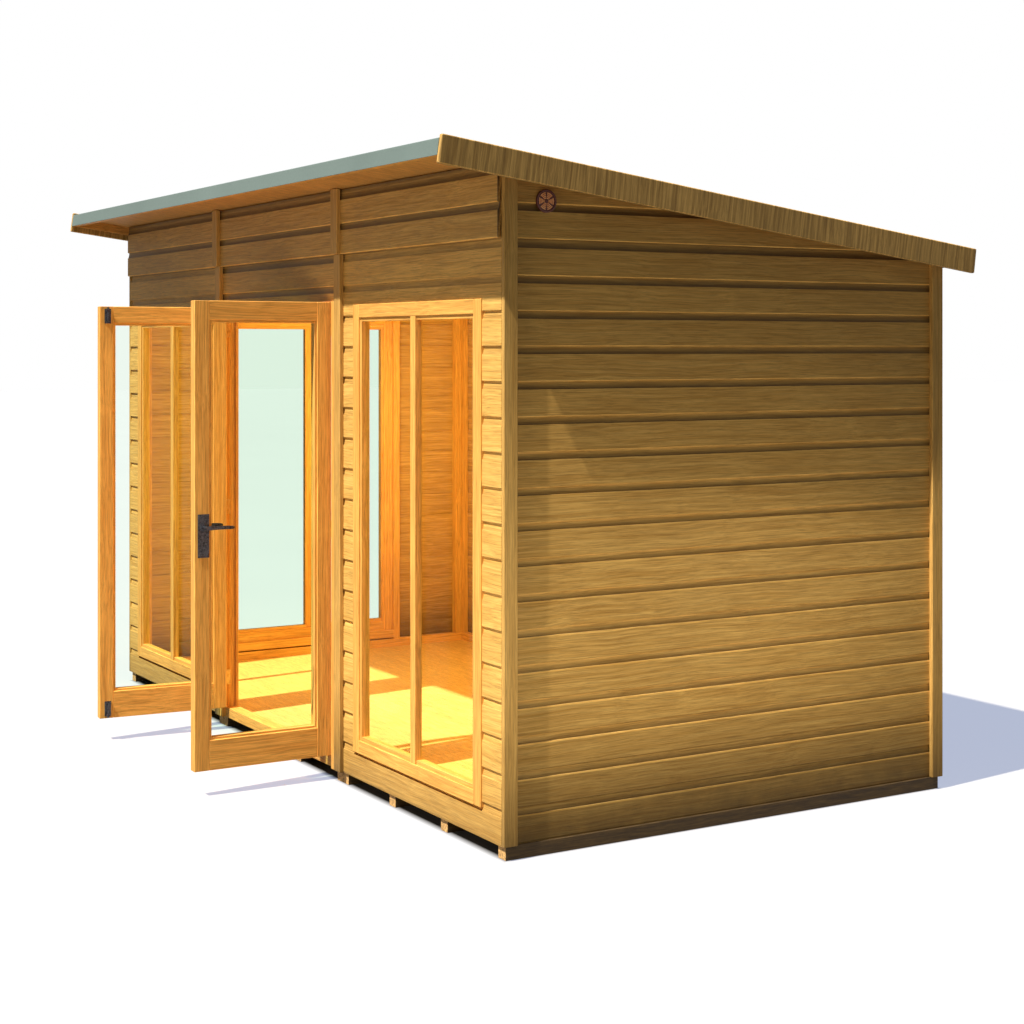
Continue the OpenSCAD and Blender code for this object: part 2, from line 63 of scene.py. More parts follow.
# ---------------------------------------------------------------- places taken from the frame
@dataclass(frozen=True)
class Box:
    """Low and high corners of a block."""

    lo: np.ndarray
    hi: np.ndarray

    @staticmethod
    def cad(node: str) -> "Box":
        """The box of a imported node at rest.

        Args:
            node: the node's name.
        Returns:
            Its box in metres.
        """
        lo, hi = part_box(node)
        return Box(np.array(lo, float), np.array(hi, float))

    @property
    def size(self) -> np.ndarray:
        """Length along each axis."""
        return self.hi - self.lo

    @property
    def mid(self) -> np.ndarray:
        """Middle of the block."""
        return (self.lo + self.hi) / 2


@dataclass(frozen=True)
class RoofPlane:
    """The plane of the roof boards' lower face: s runs down the slope, n stands square to it."""

    tan: float
    y0: float
    z0: float

    @staticmethod
    def from_frame() -> "RoofPlane":
        """The gable is a wedge whose thin end lies at the back, so its box gives the slope.

        Returns:
            The plane, with its origin above the front boards' outer face.
        """
        gable = Box.cad("gable_cladding")
        tan = gable.size[2] / gable.size[1]
        front = Box.cad("front_cladding_right").lo[1]
        return RoofPlane(tan, front, gable.lo[2] + (gable.hi[1] - front) * tan)

    @property
    def s(self) -> np.ndarray:
        """Unit vector down the slope."""
        return np.array([0.0, 1.0, -self.tan]) / math.hypot(1, self.tan)

    @property
    def n(self) -> np.ndarray:
        """Unit vector square to the slope, upwards."""
        return np.array([0.0, self.tan, 1.0]) / math.hypot(1, self.tan)

    @property
    def origin(self) -> np.ndarray:
        """Point of the plane above the front boards, in the middle of the width."""
        return np.array([0.0, self.y0, self.z0])

    def height(self, y: np.ndarray) -> np.ndarray:
        """Height of the plane at y."""
        return self.z0 - (np.asarray(y) - self.y0) * self.tan

    def block(self, node: str) -> tuple[float, float, float, float]:
        """Extent along s and n of a packed block that lies along the slope.

        The four faces of its upright box are four linear equations in the four extents.
        Args:
            node: the node's name.
        Returns:
            s0, s1, n0, n1.
        """
        box = Box.cad(node)
        cos, sin = self.s[1], -self.s[2]
        a = [[cos, 0, sin, 0], [0, cos, 0, sin], [0, -sin, cos, 0], [-sin, 0, 0, cos]]
        b = [box.lo[1] - self.y0, box.hi[1] - self.y0, box.lo[2] - self.z0, box.hi[2] - self.z0]
        return tuple(np.linalg.solve(a, b))


ROOF = RoofPlane.from_frame()


# ---------------------------------------------------------------- meshes
class Batch:
    """Gathers closed shells into one mesh, with a grain coordinate and a tone at each point; the tone carries painted
    highlights and painted shade besides each board's own tone.
    """

    def __init__(self) -> None:
        """Starts with no shells."""
        self.points: list[np.ndarray] = []
        self.grain: list[np.ndarray] = []
        self.tone: list[np.ndarray] = []
        self.faces: list[list[int]] = []
        self.count = 0

    def shell(self, rings: np.ndarray, grain: Optional[np.ndarray] = None,
              tone: Optional[np.ndarray] = None, caps: bool = True, loop: bool = False) -> None:
        """Adds a closed skin through a row of rings: quads between neighbours and a cap at each end.

        The ring's order is turned round where the enclosed volume comes out negative.
        Args:
            rings: stations x points x 3.
            grain: the same shape, the coordinate that the wood's figure follows.
            tone: stations x points, 1 for the plain colour.
            caps: closes the two ends with one face each.
            loop: joins the last ring to the first instead.
        """
        stations, points = rings.shape[:2]
        grain = rings if grain is None else grain
        tone = np.ones((stations, points)) if tone is None else tone
        ids = np.arange(stations * points).reshape(stations, points)
        a, b = (ids, np.roll(ids, -1, 0)) if loop else (ids[:-1], ids[1:])
        quads = np.stack([a, np.roll(a, -1, 1), np.roll(b, -1, 1), b], -1).reshape(-1, 4)
        flat = rings.reshape(-1, 3)
        corner = flat[quads] - flat.mean(0)
        volume = sum((corner[:, 0] * np.cross(corner[:, i], corner[:, i + 1])).sum() for i in (1, 2))
        if volume < 0:
            quads = quads[:, ::-1]
        faces = (quads + self.count).tolist()
        if caps and not loop:
            ends = [ids[0][::-1], ids[-1]] if volume >= 0 else [ids[0], ids[-1][::-1]]
            faces += [(end + self.count).tolist() for end in ends]
        self.faces += faces
        self.points.append(flat)
        self.grain.append(grain.reshape(-1, 3))
        self.tone.append(tone.reshape(-1))
        self.count += len(flat)

    def turn(self, pivot: np.ndarray, angle: float) -> None:
        """Turns all points about an upright axis.

        Args:
            pivot: point on the axis.
            angle: radians, anticlockwise from above.
        """
        cos, sin = math.cos(angle), math.sin(angle)
        matrix = np.array([[cos, sin, 0], [-sin, cos, 0], [0, 0, 1.0]])
        self.points = [(points - pivot) @ matrix + pivot for points in self.points]

    def to_object(self, name: str, smooth: bool = False, weld: bool = False) -> bpy.types.Object:
        """Makes the mesh object, at the origin.

        Args:
            name: the piece's name.
            smooth: shades faces smoothly.
            weld: merges doubled points and drops faces of no area.
        Returns:
            The linked object.
        """
        mesh = bpy.data.meshes.new(name)
        points = np.concatenate(self.points)
        mesh.from_pydata(points.tolist(), [], self.faces)
        grain = mesh.attributes.new("grain", "FLOAT_VECTOR", "POINT")
        grain.data.foreach_set("vector", np.concatenate(self.grain).astype(np.float32).ravel())
        tone = mesh.attributes.new("tone", "FLOAT", "POINT")
        tone.data.foreach_set("value", np.concatenate(self.tone).astype(np.float32))
        if weld:
            import bmesh
            work = bmesh.new()
            work.from_mesh(mesh)
            bmesh.ops.remove_doubles(work, verts=work.verts, dist=1e-5)
            bmesh.ops.dissolve_degenerate(work, edges=work.edges, dist=1e-5)
            work.to_mesh(mesh)
            work.free()
        mesh.polygons.foreach_set("use_smooth", [smooth] * len(mesh.polygons))
        mesh.update()
        obj = bpy.data.objects.new(name, mesh)
        bpy.context.scene.collection.objects.link(obj)
        return obj


def rounded_rectangle(width: float, depth: float, radius: float, steps: int = 2) -> np.ndarray:
    """Outline of a rectangle from (0, 0) to (width, depth), with a quarter circle at each corner.

    Args:
        width: size along the first axis.
        depth: size along the second axis.
        radius: corner radius.
        steps: straight steps in each quarter circle.
    Returns:
        Points x 2, anticlockwise.
    """
    angle = np.linspace(0, math.pi / 2, steps + 1)
    quarters = np.concatenate([angle + i * math.pi / 2 for i in range(4)])
    centres = np.array([[width - radius, depth - radius], [radius, depth - radius],
                        [radius, radius], [width - radius, radius]])
    centre = np.repeat(centres, steps + 1, 0)
    return centre + radius * np.stack([np.cos(quarters), np.sin(quarters)], -1)


def plank(batch: Batch, corner: Iterable[float], axes: tuple[np.ndarray, np.ndarray, np.ndarray],
          size: tuple[float, float, float], radius: float = 1.5 * MM, slope: tuple[float, float] = (0.0, 0.0),
          across: bool = False, tone: float = 1.0, edge_highlight: float = 0.35) -> None:
    """A planed board: a rounded rectangle carried along a line, drawn in by the radius at each end.

    Args:
        batch: receives the shell.
        corner: low corner of the board.
        axes: unit vectors along its length, width and thickness.
        size: length, width and thickness.
        radius: of the rounded arrises.
        slope: how much longer the far end grows for each metre of width and of thickness.
        across: turns the wood's figure from the length to the thickness.
        tone: brightness of the whole board.
        edge_highlight: painted highlight, how much paler the arrises are.
    """
    along, wide, thick = axes
    length, width, depth = size
    radius = min(radius, 0.3 * width, 0.3 * depth)
    inset = radius * np.array([1.0, 0.3, 0.0, 0.0, 0.3, 1.0])
    outline = rounded_rectangle(width, depth, radius)
    middle = np.array([width / 2, depth / 2])
    shrink = 1 - inset[:, None, None] / middle
    section = middle + (outline - middle) * shrink
    rise = section[..., 0] * slope[0] + section[..., 1] * slope[1]
    start = np.array([0, 0.3, 1.0])[:, None] * radius + 0 * rise[:3]
    end = length - np.array([1.0, 0.3, 0])[:, None] * radius + rise[3:]
    run = np.concatenate([start, end])
    rings = (np.asarray(corner, float) + run[..., None] * along
             + section[..., :1] * wide + section[..., 1:] * thick)
    shift = RNG.uniform(0, 40, 3)
    figure = np.stack([run, section[..., 0], section[..., 1]], -1)
    if across:
        figure = figure[..., [2, 1, 0]]
    # Painted highlight along the middle of each rounded arris.
    arris_highlight = 1 + edge_highlight * (np.arange(len(outline)) % 3 == 1)
    batch.shell(rings, figure + shift, tone * RNG.uniform(0.97, 1.03) * np.broadcast_to(arris_highlight, run.shape))


def bar(batch: Batch, lo: Iterable[float], hi: Iterable[float], along: int, radius: float = 1.5 * MM,
        slope: tuple[float, float] = (0.0, 0.0), across: bool = False, tone: float = 1.0,
        edge_highlight: float = 0.35) -> None:
    """A plank between two corners of an upright block.

    Args:
        batch: receives the shell.
        lo: low corner.
        hi: high corner.
        along: axis of its length, 0 to 2.
        radius: of the arrises.
        slope: see plank; width and thickness are the next two axes in turn.
        across: turns the figure to the last axis.
        tone: brightness.
        edge_highlight: painted highlight, how much paler the arrises are.
    """
    lo, hi = np.asarray(lo, float), np.asarray(hi, float)
    order = [along, (along + 1) % 3, (along + 2) % 3]
    axes = tuple(np.eye(3)[i] for i in order)
    plank(batch, lo, axes, tuple((hi - lo)[order]), radius, slope, across, tone, edge_highlight)


def lathe(batch: Batch, centre: Iterable[float], axis: np.ndarray, side: np.ndarray,
          profile: np.ndarray, steps: int = 24) -> None:
    """A turned piece: each (height, radius) of the profile is a circle about the axis.

    Args:
        batch: receives the shell.
        centre: where the axis starts.
        axis: unit vector of the axis.
        side: unit vector square to it.
        profile: points x 2, height and radius.
        steps: points of each circle.
    """
    turn = np.linspace(0, 2 * math.pi, steps, endpoint=False)
    circle = np.cos(turn)[:, None] * side + np.sin(turn)[:, None] * np.cross(axis, side)
    height, radius = np.asarray(profile, float).T
    rings = np.asarray(centre, float) + height[:, None, None] * axis + radius[:, None, None] * circle
    batch.shell(rings)


# ---------------------------------------------------------------- shader groups
class Sock(Enum):
    """Socket kinds of the shader groups."""

    VALUE = "NodeSocketFloat"
    VECTOR = "NodeSocketVector"
    COLOR = "NodeSocketColor"


class Tree:
    """Short hand for laying out nodes."""

    def __init__(self, tree: bpy.types.NodeTree) -> None:
        """Takes the tree to fill."""
        self.tree = tree

    def add(self, kind: str, inputs: Optional[dict] = None, **fields: object) -> bpy.types.Node:
        """Adds a node.

        Args:
            kind: its type, without the ShaderNode prefix.
            inputs: socket name or number to a value or to another node's output.
            **fields: node properties.
        Returns:
            The node.
        """
        node = self.tree.nodes.new("ShaderNode" + kind)
        for key, value in fields.items():
            setattr(node, key, value)
        for key, value in (inputs or {}).items():
            if isinstance(value, bpy.types.NodeSocket):
                self.tree.links.new(value, node.inputs[key])
            else:
                node.inputs[key].default_value = value
        return node

    def math(self, operation: str, *values: object) -> bpy.types.NodeSocket:
        """Adds a Math node and returns its output."""
        return self.add("Math", dict(enumerate(values)), operation=operation).outputs[0]

    def ramp(self, factor: bpy.types.NodeSocket, stops: list[tuple[float, tuple]]) -> bpy.types.NodeSocket:
        """Adds a colour ramp.

        Args:
            factor: what it reads.
            stops: position and linear colour of each stop, in order.
        Returns:
            Its colour output.
        """
        node = self.add("ValToRGB", {0: factor})
        ramp = node.color_ramp
        while len(ramp.elements) < len(stops):
            ramp.elements.new(0.5)
        for element, (position, color) in zip(ramp.elements, stops):
            element.position = position
            element.color = (*color, 1.0)
        return node.outputs[0]


def group(name: str, inputs: list[tuple[str, Sock, object]], outputs: list[tuple[str, Sock]],
          build: Callable[[Tree, dict], dict]) -> bpy.types.NodeTree:
    """Makes a shader node group.

    Args:
        name: its name.
        inputs: name, kind and default of each input.
        outputs: name and kind of each output.
        build: lays out the inside, from the inputs' sockets by name to the outputs' sockets by name.
    Returns:
        The group.
    """
    tree = bpy.data.node_groups.new(name, "ShaderNodeTree")
    for label, kind, default in inputs:
        socket = tree.interface.new_socket(label, in_out="INPUT", socket_type=kind.value)
        if default is not None:
            socket.default_value = default
    for label, kind in outputs:
        tree.interface.new_socket(label, in_out="OUTPUT", socket_type=kind.value)
    source = tree.nodes.new("NodeGroupInput")
    sink = tree.nodes.new("NodeGroupOutput")
    made = build(Tree(tree), {label: source.outputs[label] for label, _, _ in inputs})
    for label, socket in made.items():
        tree.links.new(socket, sink.inputs[label])
    return tree


def build_figure(t: Tree, put: dict) -> dict:
    """Wood figure: noise drawn out along the grain, bent by a slower noise, over fine pores.

    Args:
        t: the group's tree.
        put: the sockets Vector, Length, Width and Warp.
    Returns:
        Streak, Pores, Cloud and Height.
    """
    warp = t.add("TexNoise", {"Vector": put["Vector"], "Scale": 2.2, "Detail": 2.0})
    bend = t.add("VectorMath", {0: warp.outputs["Color"], 1: (0.5, 0.5, 0.5)}, operation="SUBTRACT")
    scaled = t.add("VectorMath", {0: bend.outputs[0], "Scale": put["Warp"]}, operation="SCALE")
    moved = t.add("VectorMath", {0: put["Vector"], 1: scaled.outputs[0]}, operation="ADD")
    size = t.add("CombineXYZ", {"X": put["Length"], "Y": put["Width"], "Z": put["Width"]})
    drawn = t.add("VectorMath", {0: moved.outputs[0], 1: size.outputs[0]}, operation="MULTIPLY")
    streak = t.add("TexNoise", {"Vector": drawn.outputs[0], "Scale": 1.0, "Detail": 4.0, "Roughness": 0.62})
    fine = t.add("VectorMath", {0: drawn.outputs[0], "Scale": 3.3}, operation="SCALE")
    pores = t.add("TexNoise", {"Vector": fine.outputs[0], "Scale": 1.0, "Detail": 3.0, "Roughness": 0.7})
    cloud = t.add("TexNoise", {"Vector": put["Vector"], "Scale": 1.7, "Detail": 3.0})
    height = t.add("Mix", {"Factor": 0.45, 2: streak.outputs["Fac"], 3: pores.outputs["Fac"]})
    return {"Streak": streak.outputs["Fac"], "Pores": pores.outputs["Fac"],
            "Cloud": cloud.outputs["Fac"], "Height": height.outputs[0]}


FIGURE = group("wood_figure",
               [("Vector", Sock.VECTOR, None), ("Length", Sock.VALUE, 6.0), ("Width", Sock.VALUE, 110.0),
                ("Warp", Sock.VALUE, 0.02)],
               [("Streak", Sock.VALUE), ("Pores", Sock.VALUE), ("Cloud", Sock.VALUE), ("Height", Sock.VALUE)],
               build_figure)


def build_foot_shade(t: Tree, put: dict) -> dict:
    """Painted shade near the ground: full at the foot, none at the given height, broken up by noise.

    Args:
        t: the group's tree.
        put: the sockets Top and Strength.
    Returns:
        Mask.
    """
    place = t.add("TexCoord").outputs["Object"]
    z = t.add("SeparateXYZ", {0: place}).outputs["Z"]
    rise = t.math("DIVIDE", z, put["Top"])
    fall = t.math("SUBTRACT", 1.0, rise)
    mask = t.add("Clamp", {0: fall}).outputs[0]
    noise = t.add("TexNoise", {"Vector": place, "Scale": 9.0, "Detail": 5.0, "Roughness": 0.65})
    broken = t.math("MULTIPLY_ADD", noise.outputs["Fac"], 0.5, 0.75)
    soft = t.math("POWER", mask, 1.5)
    return {"Mask": t.math("MULTIPLY", t.math("MULTIPLY", soft, broken), put["Strength"])}


FOOT_SHADE = group("painted_foot_shade", [("Top", Sock.VALUE, 0.5), ("Strength", Sock.VALUE, 0.5)],
               [("Mask", Sock.VALUE)], build_foot_shade)


def build_speckle(t: Tree, put: dict) -> dict:
    """Mineral grit: fine cells over a fine noise.

    Args:
        t: the group's tree.
        put: the sockets Scale and Mix.
    Returns:
        Grit and Height.
    """
    place = t.add("TexCoord").outputs["Object"]
    cells = t.add("TexVoronoi", {"Vector": place, "Scale": put["Scale"]})
    noise = t.add("TexNoise", {"Vector": place, "Scale": put["Scale"], "Detail": 3.0})
    mixed = t.add("Mix", {"Factor": put["Mix"], 2: cells.outputs["Distance"], 3: noise.outputs["Fac"]})
    return {"Grit": mixed.outputs[0], "Height": cells.outputs["Distance"]}


SPECKLE = group("speckle", [("Scale", Sock.VALUE, 500.0), ("Mix", Sock.VALUE, 0.5)],
                [("Grit", Sock.VALUE), ("Height", Sock.VALUE)], build_speckle)


# ---------------------------------------------------------------- finishes
def new_material(name: str) -> tuple[bpy.types.Material, Tree, bpy.types.Node]:
    """An empty node material with its Principled shader.

    Args:
        name: the material's name.
    Returns:
        The material, its tree and its shader.
    """
    material = bpy.data.materials.new(name)
    material.use_nodes = True
    material.node_tree.nodes.clear()
    tree = Tree(material.node_tree)
    shader = tree.add("BsdfPrincipled")
    tree.add("OutputMaterial", {"Surface": shader.outputs[0]})
    return material, tree, shader


@dataclass(frozen=True)
class Wood:
    """Softwood in a golden dip treatment: a streaked figure that follows the piece's grain."""

    name: str
    light: tuple[float, float, float] = (0.84, 0.495, 0.128)
    dark: tuple[float, float, float] = (0.58, 0.30, 0.062)
    length: float = 7.0
    width: float = 120.0
    warp: float = 0.03
    contrast: float = 1.0
    roughness: float = 0.62
    # foot_shade darkens the wood towards the ground as painted shade, fading out at foot_shade_top.
    foot_shade: float = 0.0
    foot_shade_top: float = 0.6
    attribute: bool = True
    upright: bool = False
    # ends scales the colour of faces that look out of the front: on the joists it paints sunlight on the end grain,
    # against sides darkened as painted shade.
    ends: float = 1.0

    def build(self) -> bpy.types.Material:
        """Returns the material."""
        material, t, shader = new_material(self.name)
        if self.attribute:
            place = t.add("Attribute", attribute_name="grain").outputs["Vector"]
        else:
            place = t.add("TexCoord").outputs["Object"]
            if self.upright:
                turn = t.add("Mapping", {"Vector": place, "Rotation": (0, math.pi / 2, 0)})
                place = turn.outputs[0]
        figure = t.add("Group", node_tree=FIGURE)
        t.tree.links.new(place, figure.inputs["Vector"])
        figure.inputs["Length"].default_value = self.length
        figure.inputs["Width"].default_value = self.width
        figure.inputs["Warp"].default_value = self.warp
        half = 0.17 / self.contrast
        dark = tuple(self.dark)
        base = t.ramp(figure.outputs["Streak"], [(0.5 - half, dark), (0.5 + half, self.light)])
        pores = t.add("MapRange", {"Value": figure.outputs["Pores"], "From Min": 0.34, "From Max": 0.56,
                                   "To Min": 1 - 0.34 * self.contrast, "To Max": 1.08}).outputs[0]
        cloud = t.math("MULTIPLY_ADD", figure.outputs["Cloud"], 0.30, 0.85)
        shade = t.math("MULTIPLY", pores, cloud)
        if self.attribute:
            # tone brings in the painted highlights and painted shade of the boards and arrises.
            tone = t.add("Attribute", attribute_name="tone").outputs["Fac"]
            shade = t.math("MULTIPLY", shade, tone)
        # Painted shade towards the ground.
        if self.foot_shade > 0:
            foot_shade_node = t.add("Group", node_tree=FOOT_SHADE)
            foot_shade_node.inputs["Top"].default_value = self.foot_shade_top
            foot_shade_node.inputs["Strength"].default_value = self.foot_shade
            shade = t.math("MULTIPLY", shade, t.math("SUBTRACT", 1.0, foot_shade_node.outputs[0]))
        # Painted light: faces that look out of the front are made paler by ends.
        if self.ends != 1:
            normal = t.add("NewGeometry").outputs["Normal"]
            facing = t.add("SeparateXYZ", {"Vector": normal}).outputs["Y"]
            pale = t.add("MapRange", {"Value": facing, "From Min": -0.95, "From Max": -0.6,
                                      "To Min": self.ends, "To Max": 1.0}).outputs[0]
            shade = t.math("MULTIPLY", shade, pale)
        grey = t.add("CombineColor", {0: shade, 1: shade, 2: shade}).outputs[0]
        color = t.add("Mix", {"Factor": 1.0, 6: base, 7: grey}, data_type="RGBA", blend_type="MULTIPLY")
        t.tree.links.new(color.outputs[2], shader.inputs["Base Color"])
        rough = t.math("MULTIPLY_ADD", figure.outputs["Pores"], 0.25, self.roughness - 0.12)
        t.tree.links.new(rough, shader.inputs["Roughness"])
        bump = t.add("Bump", {"Strength": 0.25, "Distance": 0.0008, "Height": figure.outputs["Height"]})
        t.tree.links.new(bump.outputs[0], shader.inputs["Normal"])
        shader.inputs["Specular IOR Level"].default_value = 0.25
        return material


@dataclass(frozen=True)
class Glass:
    """Clear sheet glass with a faint green tint; shadows pass through it as through a tinted film."""

    name: str
    tint: tuple[float, float, float] = (0.858, 0.951, 0.870)
    ior: float = 1.05

    def build(self) -> bpy.types.Material:
        """Returns the material."""
        material, t, shader = new_material(self.name)
        place = t.add("TexCoord").outputs["Object"]
        waves = t.add("TexNoise", {"Vector": place, "Scale": 1.3, "Detail": 1.0})
        tint = t.ramp(waves.outputs["Fac"], [(0.3, tuple(0.985 * c for c in self.tint)), (0.7, self.tint)])
        t.tree.links.new(tint, shader.inputs["Base Color"])
        shader.inputs["Roughness"].default_value = 0.0
        shader.inputs["IOR"].default_value = self.ior
        shader.inputs["Transmission Weight"].default_value = 1.0
        clear = t.add("BsdfTransparent", {"Color": (*self.tint, 1.0)})
        path = t.add("LightPath")
        either = t.math("MAXIMUM", path.outputs["Is Shadow Ray"], path.outputs["Is Diffuse Ray"])
        mixed = t.add("MixShader", {0: either, 1: shader.outputs[0], 2: clear.outputs[0]})
        output = next(n for n in t.tree.nodes if n.type == "OUTPUT_MATERIAL")
        t.tree.links.new(mixed.outputs[0], output.inputs["Surface"])
        return material


@dataclass(frozen=True)
class Grit:
    """Mineral-faced roofing felt."""

    name: str
    light: tuple[float, float, float] = (0.155, 0.205, 0.185)
    dark: tuple[float, float, float] = (0.10, 0.138, 0.125)

    def build(self) -> bpy.types.Material:
        """Returns the material."""
        material, t, shader = new_material(self.name)
        grit = t.add("Group", node_tree=SPECKLE)
        grit.inputs["Scale"].default_value = 420.0
        grit.inputs["Mix"].default_value = 0.6
        place = t.add("TexCoord").outputs["Object"]
        cloud = t.add("TexNoise", {"Vector": place, "Scale": 2.0, "Detail": 3.0})
        blend = t.math("MULTIPLY_ADD", cloud.outputs["Fac"], 0.5, -0.25)
        level = t.math("ADD", grit.outputs["Grit"], blend)
        t.tree.links.new(t.ramp(level, [(0.2, self.dark), (0.7, self.light)]), shader.inputs["Base Color"])
        rough = t.math("MULTIPLY_ADD", grit.outputs["Grit"], 0.1, 0.85)
        t.tree.links.new(rough, shader.inputs["Roughness"])
        bump = t.add("Bump", {"Strength": 0.4, "Distance": 0.001, "Height": grit.outputs["Height"]})
        t.tree.links.new(bump.outputs[0], shader.inputs["Normal"])
        return material


@dataclass(frozen=True)
class Metal:
    """Metal hardware: a base colour clouded by a second one, with a worked surface."""

    name: str
    light: tuple[float, float, float]
    dark: tuple[float, float, float]
    metallic: float = 1.0
    roughness: float = 0.4
    scale: float = 160.0
    bump: float = 0.2

    def build(self) -> bpy.types.Material:
        """Returns the material."""
        material, t, shader = new_material(self.name)
        place = t.add("TexCoord").outputs["Object"]
        noise = t.add("TexNoise", {"Vector": place, "Scale": self.scale, "Detail": 4.0})
        t.tree.links.new(t.ramp(noise.outputs["Fac"], [(0.35, self.dark), (0.65, self.light)]),
                         shader.inputs["Base Color"])
        rough = t.math("MULTIPLY_ADD", noise.outputs["Fac"], 0.3, self.roughness - 0.15)
        t.tree.links.new(rough, shader.inputs["Roughness"])
        shader.inputs["Metallic"].default_value = self.metallic
        bump = t.add("Bump", {"Strength": self.bump, "Distance": 0.0006, "Height": noise.outputs["Fac"]})
        t.tree.links.new(bump.outputs[0], shader.inputs["Normal"])
        return material


@dataclass
class Finishes:
    """Every finish of the summerhouse, each built once."""

    # boards and trim are the plain wood darkened as painted shade for parts out of the sun; sunny, the front boards'
    # wood, keeps the plain colour.
    boards: Wood = Wood("shiplap_wood", light=(0.655, 0.386, 0.100), dark=(0.452, 0.234, 0.048), length=2.6,
                        foot_shade=0.92, foot_shade_top=0.42)
    sunny: Wood = Wood("front_shiplap_wood", length=2.6, foot_shade=0.5, foot_shade_top=0.36)
    trim: Wood = Wood("trim_wood", light=(0.66, 0.39, 0.105), dark=(0.46, 0.245, 0.055), length=2.4, width=130.0,
                      foot_shade=0.7, foot_shade_top=0.42)
    barge: Wood = Wood("bargeboard_wood", light=(0.60, 0.365, 0.11), dark=(0.30, 0.17, 0.045),
                       length=2.5, width=105.0, contrast=1.2)
    joinery: Wood = Wood("joinery_wood", light=(0.88, 0.465, 0.105), dark=(0.64, 0.29, 0.055),
                         length=2.4, width=130.0)
    framing: Wood = Wood("framing_wood", light=(0.86, 0.46, 0.10), dark=(0.66, 0.31, 0.06), length=2.4, width=120.0)
    roof: Wood = Wood("roof_wood", light=(0.80, 0.41, 0.10), dark=(0.58, 0.27, 0.06), width=90.0)
    floor: Wood = Wood("floor_wood", light=(0.86, 0.54, 0.15), dark=(0.70, 0.38, 0.09), width=80.0, contrast=0.8)
    # The joists' near-black colour is painted shade for their sides under the house; ends=9.0 paints their sunlit front
    # ends back up to an orange wood colour.
    joist: Wood = Wood("joist_wood", light=(0.085, 0.05, 0.018), dark=(0.035, 0.02, 0.008), contrast=1.2,
                       ends=9.0)
    glass: Glass = Glass("window_glass")
    felt: Grit = Grit("roofing_felt")
    iron: Metal = Metal("dark_iron", (0.10, 0.10, 0.11), (0.03, 0.03, 0.035), 0.9, 0.42)
    brass: Metal = Metal("hinge_brass", (0.86, 0.62, 0.26), (0.62, 0.40, 0.14), 0.85, 0.35, 60.0, 0.05)
    vent: Metal = Metal("vent_plastic", (1.0, 0.50, 0.20), (0.96, 0.36, 0.11), 0.0, 0.4, 90.0, 0.05)
    shadow: Metal = Metal("keyhole_shadow", (0.012, 0.012, 0.012), (0.004, 0.004, 0.004), 0.0, 0.8, 90.0, 0.05)
    # vent_dark is the ring's own dark red-brown; behind the slats the same dark dish is painted shade for the open
    # vent.
    vent_dark: Metal = Metal("vent_shadow", (0.10, 0.02, 0.008), (0.06, 0.012, 0.005), 0.0, 0.6, 90.0, 0.05)
    made: dict[str, bpy.types.Material] = field(default_factory=dict)

    def get(self, finish: object) -> bpy.types.Material:
        """The finish's material, built on first use."""
        if finish.name not in self.made:
            self.made[finish.name] = finish.build()
        return self.made[finish.name]


FINISH = Finishes()


def dress(obj: bpy.types.Object, finish: object, slot: str, body: str, *nodes: str) -> bpy.types.Object:
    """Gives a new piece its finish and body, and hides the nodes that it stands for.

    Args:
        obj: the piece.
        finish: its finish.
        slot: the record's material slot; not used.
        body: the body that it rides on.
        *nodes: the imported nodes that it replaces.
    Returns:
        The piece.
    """
    obj.data.materials.append(FINISH.get(finish))
    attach(obj, body)
    if nodes:
        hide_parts(*nodes)
    LOG.info("%s: %d faces on %s", obj.name, len(obj.data.polygons), body)
    return obj


# ---------------------------------------------------------------- cladding
@dataclass(frozen=True)
class Face:
    """An outer wall face: a point on it, the way along it and the way out of it."""

    origin: np.ndarray
    along: np.ndarray
    out: np.ndarray


